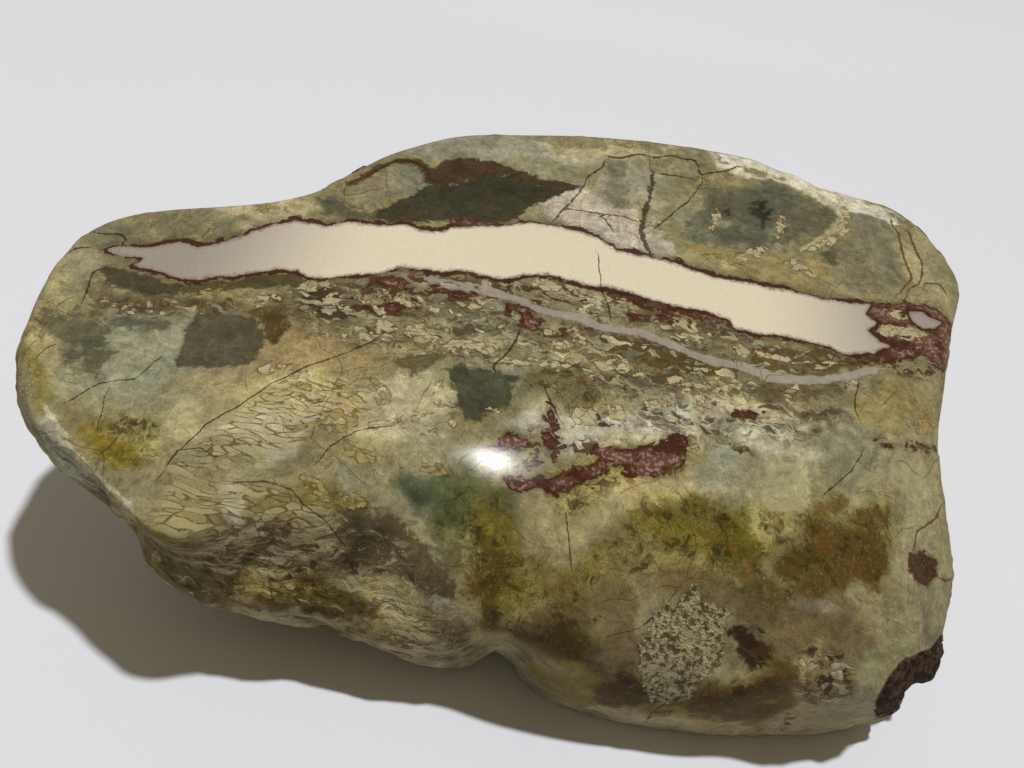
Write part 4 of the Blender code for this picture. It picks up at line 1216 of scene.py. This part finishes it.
def chalcedony_vein(add, colour, offset, noise, settings):
    """Vein of lavender-grey chalcedony with soft sides: as deep as a half width that swells and
    thins, less the distance from a middle line that wanders."""
    offset = roughened(add, offset, noise, {"edge": 1.6})
    offset = add("Math", {0: offset}, operation="ABSOLUTE", out=0)
    swell = roughened(add, settings.vein_half / MM - 1.0, noise, {"clouds": 2.0})
    depth = add("Math", {0: swell, 1: offset}, operation="SUBTRACT", out=0)
    tone = lit(add, settings.vein_colour, brightness(add, noise, {"mottle": (0.85, 1.12)}))
    return laid_over(add, colour, tone, share_of(add, depth, -0.35, 0.4), 0.85)


def oxblood_seams(add, colour, depth, noise, settings):
    """Oxblood seams, dusted with pink and grey where they are broad, darker at their edges, with
    a brown halo."""
    depth = roughened(add, depth, noise, {"edge": 4.5, "chip": 2.0})
    border = rgba(settings.border_colour)
    dust = share_of(add, noise["veining"], 0.4, 0.56, share_of(add, depth, 0.3, 2.2))
    oxblood = laid_over(add, border, "#794c3b", dust, 0.75)
    oxblood = laid_over(add, oxblood, "#a39089", share_of(add, noise["crumb"], 0.5, 0.6, dust), 0.7)
    oxblood = laid_over(add, oxblood, border, share_of(add, depth, 0.7, 0.1), 0.9)
    colour = laid_over(add, colour, "#5b4226", share_of(add, depth, -1.8, -0.2), 0.4)
    return laid_over(add, colour, oxblood, share_of(add, depth, -0.25, 0.25), 0.95)


def flaked(add, colour, depth, noise, tone):
    """Flakes: pale bodies with chipped and ragged edges, thin brown outlines and brown joints."""
    depth = roughened(add, depth, noise, {"edge": 3.4, "chip": 2.6})
    colour = laid_over(add, colour, "#493617", share_of(add, depth, -0.7, -0.25), 0.55)
    tone = lit(add, tone, brightness(add, noise, {"mottle": (0.8, 1.08)}, (0.35, 0.65)))
    colour = laid_over(add, colour, tone, share_of(add, depth, -0.15, 0.15), 0.9)
    near = share_of(add, depth, -0.9, 0.0)
    return laid_over(add, colour, "#5d4620", share_of(add, noise["joint"], 0.09, 0.03, near), 0.6)


def cream_band(add, colour, depth, noise, settings):
    """The band: an oxblood border of uneven width, then sugary cream chalcedony, pinkish at its
    edge and cooler towards its ends. Returns 1 off the band and 0 on it as well."""
    depth = roughened(add, depth, noise, {"edge": 3.0})
    colour = laid_over(add, colour, "#52402a", share_of(add, depth, -4.0, -1.2), 0.4)
    width = add("MapRange", {"Value": noise["clouds"], 1: 0.42, 2: 0.64, 3: 0.3, 4: 2.4}, out=0)
    width = roughened(add, width, noise, {"chip": 0.9})
    bordered = add("Math", {0: depth, 1: width}, out=0)
    colour = laid_over(add, colour, rgba(settings.border_colour), share_of(add, bordered, -0.25, 0.25), 0.95)
    along = add("SeparateXYZ", {0: noise["place"]}, out=0)
    from_middle = add("Math", {0: along, 1: -BAND_MIDDLE}, out=0)
    from_middle = add("Math", {0: from_middle}, operation="ABSOLUTE", out=0)
    cream = laid_over(add, rgba(settings.band_colour), rgba(settings.band_end_colour),
                      share_of(add, from_middle, 0.08, 0.16))
    cream = lit(add, cream, brightness(add, noise, {"grain": (0.93, 1.05)}))
    fuzz = roughened(add, depth, noise, {"crumb": 1.6})
    cream = laid_over(add, "#8f7c72", cream, share_of(add, fuzz, 0.7, 2.4))
    colour = laid_over(add, colour, cream, share_of(add, depth, -0.15, 0.3))
    return colour, share_of(add, depth, 1.0, -0.5)


def cracked(add, colour, cracks, off_band, noise, settings):
    """Cracks with a brown filling, rustier near the right end, and hairlines off the band."""
    lines = []
    for offset in (cracks[0], cracks[1]):
        line = roughened(add, offset, noise, {"edge": 1.8})
        line = add("Math", {0: line}, operation="ABSOLUTE", out=0)
        line = roughened(add, line, noise, {"mottle": 1.6})
        lines.append(share_of(add, line, 1.55, 1.15, cracks[2]))
    crack = add("Math", {0: lines[0], 1: lines[1]}, operation="MAXIMUM", out=0)
    along = add("SeparateXYZ", {0: noise["place"]}, out=0)
    filling = laid_over(add, rgba(settings.crack_colour), "#5f3018", share_of(add, along, 0.13, 0.15))
    colour = laid_over(add, colour, filling, crack, 0.85)
    hair = add("TexVoronoi", {"Vector": noise["warped"], "Scale": per_metre(30)}, feature="DISTANCE_TO_EDGE",
               out="Distance")
    patchy = share_of(add, noise["drift"], 0.48, 0.56, off_band)
    return laid_over(add, colour, "#3d3016", share_of(add, hair, 0.007, 0.002, patchy), 0.6)


def opened_places(add, colour, rough, pits, noise):
    """Pale fibrous crust in the open patch, dark red-brown druse on the knob and dark pits.
    Returns where the stone is dull as well."""
    fibres = add("Math", {0: noise["moss"], 1: noise["crumb"]}, out=0)
    crust = laid_over(add, "#4b4428", "#aca27a", share_of(add, fibres, 0.8, 1.18))
    opened = share_of(add, roughened(add, rough[0], noise, {"edge": 8.0}), -0.6, 0.6)
    colour = laid_over(add, colour, crust, opened, 0.9)
    druse = laid_over(add, "#20120c", "#56402f", share_of(add, noise["mottle"], 0.4, 0.64))
    knob = share_of(add, roughened(add, rough[1], noise, {"edge": 1.5}), -0.4, 0.4)
    colour = laid_over(add, colour, druse, knob)
    pit = share_of(add, roughened(add, pits, noise, {"edge": 6.0, "chip": 4.0}), -0.4, 0.9)
    colour = laid_over(add, colour, "#251a0c", pit, 0.8)
    return colour, add("Math", {0: opened, 1: knob}, operation="MAXIMUM", out=0)


def polished_jasper(settings):
    """Green jasper with agate and chalcedony, sawn, ground and polished on a lap.

    It gives the eye a hard, glassy skin over cloudy stone, with crisp seams, and dull rock where
    it was left broken."""
    material = bpy.data.materials.new("polished_jasper")
    material.use_nodes = True
    material.node_tree.nodes.clear()
    add = partial(node, material.node_tree)

    patch_edge, seams, zones, cracks, flakes, rough, rings = (
        add("SeparateXYZ", {0: add("Attribute", attribute_name=name, out="Vector")}).outputs
        for name in ("patch_edge", "seams", "zones", "cracks", "flakes", "rough", "rings"))
    broken = rough[2]
    noise = jasper_noises(add, add("TexCoord", out="Object"))
    colour, light = clouded(add, patched_ground(add, patch_edge, noise), noise)
    colour = moss_spots(add, colour, zones[2], noise)
    colour = straw_lines(add, colour, zones[1], noise)
    for size, least, stretch in FRAGMENT_SIZES:
        colour = fragments(add, colour, light, zones[0], noise, size, least, stretch)
    colour = agate_rings(add, colour, rings[0], rings[1], noise)
    colour, fibre = broken_rock(add, colour, broken, noise)
    clot = roughened(add, noise["clot"], noise, {"edge": 1.2})
    colour = laid_over(add, colour, "#45180e", share_of(add, clot, 0.66, 0.7, patch_edge[2]), 0.85)
    colour = chalcedony_vein(add, colour, seams[1], noise, settings)
    colour = oxblood_seams(add, colour, seams[2], noise, settings)
    for depth, tone in ((flakes[0], settings.flake_colour), (flakes[1], settings.ochre_colour)):
        colour = flaked(add, colour, depth, noise, tone)
    colour, off_band = cream_band(add, colour, seams[0], noise, settings)
    colour = cracked(add, colour, cracks, off_band, noise, settings)
    colour, dull = opened_places(add, colour, rough, flakes[2], noise)

    # Gloss: a lapped polish, duller on broken rock and in what is open.
    gloss = add("MapRange", {"Value": broken, 3: settings.polish, 4: 0.5}, out=0)
    gloss = roughened(add, gloss, noise, {"mottle": 0.08})
    gloss = add("Mix", {0: dull, 2: gloss, 3: 0.75}, data_type="FLOAT", out=0)
    sheen = add("MapRange", {"Value": broken, 3: 0.5, 4: 0.25}, out=0)

    # Relief too fine for the mesh, in millimetres.
    height = add("Math", {0: noise["grain"], 1: 0.03}, operation="MULTIPLY", out=0)
    for source, share, amount in ((fibre, broken, 2.0), (noise["grain"], dull, 1.4)):
        part = add("Math", {0: source, 1: share}, operation="MULTIPLY", out=0)
        height = add("Math", {0: part, 1: amount, 2: height}, operation="MULTIPLY_ADD", out=0)
    relief = add("Bump", {"Height": height, "Strength": 1.0, "Distance": MM}, out=0)

    shader = add("BsdfPrincipled", {"Base Color": colour, "Roughness": gloss, "Normal": relief,
                                    "IOR": QUARTZ_IOR, "Specular IOR Level": sheen, "Metallic": 0.0})
    add("OutputMaterial", {"Surface": shader.outputs[0]})
    return material


def painted_board():
    """Painted board: matt white with a faint unevenness, so that the floor isn't one flat tone."""
    material = bpy.data.materials.new("painted_board")
    material.use_nodes = True
    material.node_tree.nodes.clear()
    add = partial(node, material.node_tree)
    place = add("TexCoord", out="Object")
    speckle = add("TexNoise", {"Vector": place, "Scale": per_metre(2.5), "Detail": 3.0}, out="Fac")
    shader = add("BsdfPrincipled", {"Base Color": laid_over(add, "#dedee4", "#e3e3e8", speckle),
                                    "Roughness": 0.7})
    add("OutputMaterial", {"Surface": shader.outputs[0]})
    return material


# Settings, operators and panel

def colour_setting(name, description, colour):
    """A colour setting whose default is an sRGB hex string."""
    return bpy.props.FloatVectorProperty(name=name, description=description, subtype="COLOR", size=3,
                                         default=tuple(linear(colour)), min=0.0, max=1.0)


class StoneSettings(bpy.types.PropertyGroup):
    cells_along: bpy.props.IntProperty(
        name="Cells along", description="Cells of the cut's grid along the stone", default=230,
        min=40, max=260)
    cells_across: bpy.props.IntProperty(
        name="Cells across", description="Cells of the cut's grid from front to back", default=115,
        min=20, max=130)
    rows: bpy.props.IntProperty(
        name="Rows", description="Rows of the side from rim to foot", default=96, min=20, max=110)
    relief: bpy.props.FloatProperty(
        name="Relief", description="Strength of the fine relief, 1 as on the real stone", default=1.0,
        min=0.0, max=2.0, subtype="FACTOR")
    polish: bpy.props.FloatProperty(
        name="Polish", description="Roughness of the lapped skin", default=0.19, min=0.0, max=1.0,
        subtype="FACTOR")
    vein_half: bpy.props.FloatProperty(
        name="Vein half width", description="Half the width of the chalcedony vein", default=0.0016,
        min=0.0005, max=0.01, unit="LENGTH")
    band_colour: colour_setting("Band", "Cream chalcedony in the middle of the band", "#e3d8bc")
    band_end_colour: colour_setting("Band ends", "Cooler chalcedony at the ends of the band", "#9f958b")
    border_colour: colour_setting("Border", "Oxblood jasper beside the band", "#3f190f")
    vein_colour: colour_setting("Vein", "Lavender-grey chalcedony", "#a3998c")
    flake_colour: colour_setting("Flakes", "Bleached flakes", "#c2b58e")
    ochre_colour: colour_setting("Ochre flakes", "Iron-stained flakes", "#a5955f")
    crack_colour: colour_setting("Cracks", "Filling of the cracks", "#33200f")


class StageSettings(bpy.types.PropertyGroup):
    floor_size: bpy.props.FloatProperty(
        name="Floor", description="Side of the square floor", default=12.0, min=1.0, unit="LENGTH")
    lamp_strength: bpy.props.FloatProperty(
        name="Lamp", description="Strength of the overhead lamp", default=2.7, min=0.0)
    lamp_angle: bpy.props.FloatProperty(
        name="Lamp size", description="Angle that the lamp spans, which softens shadows",
        default=math.radians(3.0), min=0.0, subtype="ANGLE")
    fill_strength: bpy.props.FloatProperty(
        name="Fill", description="Strength of the soft light from all round", default=0.21, min=0.0)
    glint_strength: bpy.props.FloatProperty(
        name="Glint", description="Power of the small lamps seen in the polish", default=1.15, min=0.0)


class THUNDEREGG_OT_stone(bpy.types.Operator):
    """Adds the polished stone in place of its plain solid"""
    bl_idname = "thunderegg.stone"
    bl_label = "Polished thunderegg"

    def execute(self, context):
        settings = context.scene.thunderegg_stone
        points, quads, fan = stone_grid(settings.cells_along, settings.cells_across, settings.rows)
        points = weathered(points, point_normals(points, quads), settings.relief)
        mesh = bpy.data.meshes.new("polished_thunderegg")
        mesh.from_pydata(points * MM, [], quads.tolist() + fan.tolist())
        if mesh.validate():
            raise RuntimeError("The stone's grid has bad faces")
        for name, values in markings(points, point_normals(points, quads)).items():
            attribute = mesh.attributes.new(name, "FLOAT_VECTOR", "POINT")
            attribute.data.foreach_set("vector", np.ascontiguousarray(values, np.float32).ravel())
        mesh.shade_smooth()
        mesh.materials.append(polished_jasper(settings))
        stone = bpy.data.objects.new("polished_thunderegg", mesh)
        context.scene.collection.objects.link(stone)
        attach(stone, "root")
        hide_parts("thunderegg")
        return {"FINISHED"}


class THUNDEREGG_OT_stage(bpy.types.Operator):
    """Adds the pale floor, the overhead lamp, the lamps of the glint, the fill light and the camera"""
    bl_idname = "thunderegg.stage"
    bl_label = "Stage"

    def execute(self, context):
        scene, settings = context.scene, context.scene.thunderegg_stage
        mesh = bpy.data.meshes.new("floor")
        points, quads = sweep_grid(settings.floor_size)
        mesh.from_pydata(points, [], quads.tolist())
        mesh.shade_smooth()
        mesh.materials.append(painted_board())
        floor = bpy.data.objects.new("floor", mesh)
        floor.location.z = -FLOOR_GAP * MM
        floor.visible_glossy = False
        scene.collection.objects.link(floor)

        sun = lamp(scene, "overhead_lamp", "SUN", LAMP_AIM, energy=settings.lamp_strength, color=LAMP_COLOUR,
                   angle=settings.lamp_angle)
        sun.visible_glossy = False
        for *aimed_at, cone, share in GLINTS:
            aim = np.array(aimed_at) - GLINT_LAMP
            spot = lamp(scene, "glint_lamp", "SPOT", aim, energy=settings.glint_strength * share,
                        spot_size=math.radians(cone), spot_blend=0.9, shadow_soft_size=GLINT_LAMP_RADIUS * MM)
            spot.location = [mm * MM for mm in GLINT_LAMP]
            spot.visible_diffuse = False

        world = bpy.data.worlds.new("soft_room")
        world.use_nodes = True
        background = world.node_tree.nodes["Background"]
        background.inputs["Color"].default_value = (*FILL_COLOUR, 1.0)
        background.inputs["Strength"].default_value = settings.fill_strength
        scene.world = world
        scene.view_settings.view_transform = "Standard"

        camera = bpy.data.objects.new("camera", bpy.data.cameras.new("camera"))
        camera.data.sensor_width = SENSOR_WIDTH
        camera.data.lens = FOCAL_PIXELS / IMAGE_WIDTH * SENSOR_WIDTH
        camera.data.clip_start = 0.01
        right, down, ahead = camera_axes()
        turned = Matrix([right, -down, -ahead]).transposed().to_4x4()
        camera.matrix_world = Matrix.Translation([mm * MM for mm in CAMERA_AT]) @ turned
        scene.collection.objects.link(camera)
        scene.camera = camera
        return {"FINISHED"}


def sweep_grid(size, columns=8, rows=24):
    """Floor that curves up far behind the stone, in metres: level forward of the start of the
    curve, then a height of the square of the distance past it."""
    x, y = np.meshgrid(np.linspace(-size / 2, size / 2, columns + 1), np.linspace(-size / 2, size, rows + 1))
    past = np.maximum(y - size / 4, 0)
    points = np.stack([x, y, past ** 2 / size], -1)
    index = np.arange(x.size).reshape(x.shape)
    quads = np.stack([index[:-1, :-1], index[:-1, 1:], index[1:, 1:], index[1:, :-1]], -1)
    return points.reshape(-1, 3), quads.reshape(-1, 4)


def lamp(scene, name, kind, aim, **settings):
    """Adds a lamp that shines along aim, its local Z turned away from it."""
    data = bpy.data.lights.new(name, kind)
    for setting, value in settings.items():
        setattr(data, setting, value)
    back = -np.array(aim) / np.linalg.norm(aim)
    right = np.cross([0.0, 1.0, 0.0], back)
    right = right / np.linalg.norm(right)
    made = bpy.data.objects.new(name, data)
    made.rotation_euler = Matrix([right, np.cross(back, right), back]).transposed().to_euler()
    scene.collection.objects.link(made)
    return made


class THUNDEREGG_PT_panel(bpy.types.Panel):
    """Lists the pieces and their settings"""
    bl_idname = "THUNDEREGG_PT_panel"
    bl_label = "Thunderegg"
    bl_space_type = "VIEW_3D"
    bl_region_type = "UI"
    bl_category = "Thunderegg"

    def draw(self, context):
        for settings, operator in ((context.scene.thunderegg_stone, "thunderegg.stone"),
                                   (context.scene.thunderegg_stage, "thunderegg.stage")):
            box = self.layout.box()
            for name in settings.bl_rna.properties.keys():
                if name not in {"rna_type", "name"}:
                    box.prop(settings, name)
            box.operator(operator)


CLASSES = (StoneSettings, StageSettings, THUNDEREGG_OT_stone, THUNDEREGG_OT_stage, THUNDEREGG_PT_panel)


def register():
    for cls in CLASSES:
        bpy.utils.register_class(cls)
    bpy.types.Scene.thunderegg_stone = bpy.props.PointerProperty(type=StoneSettings)
    bpy.types.Scene.thunderegg_stage = bpy.props.PointerProperty(type=StageSettings)


def unregister():
    del bpy.types.Scene.thunderegg_stage
    del bpy.types.Scene.thunderegg_stone
    for cls in reversed(CLASSES):
        bpy.utils.unregister_class(cls)


def main():
    register()
    bpy.ops.thunderegg.stone()
    bpy.ops.thunderegg.stage()


if __name__ == "__main__":
    main()
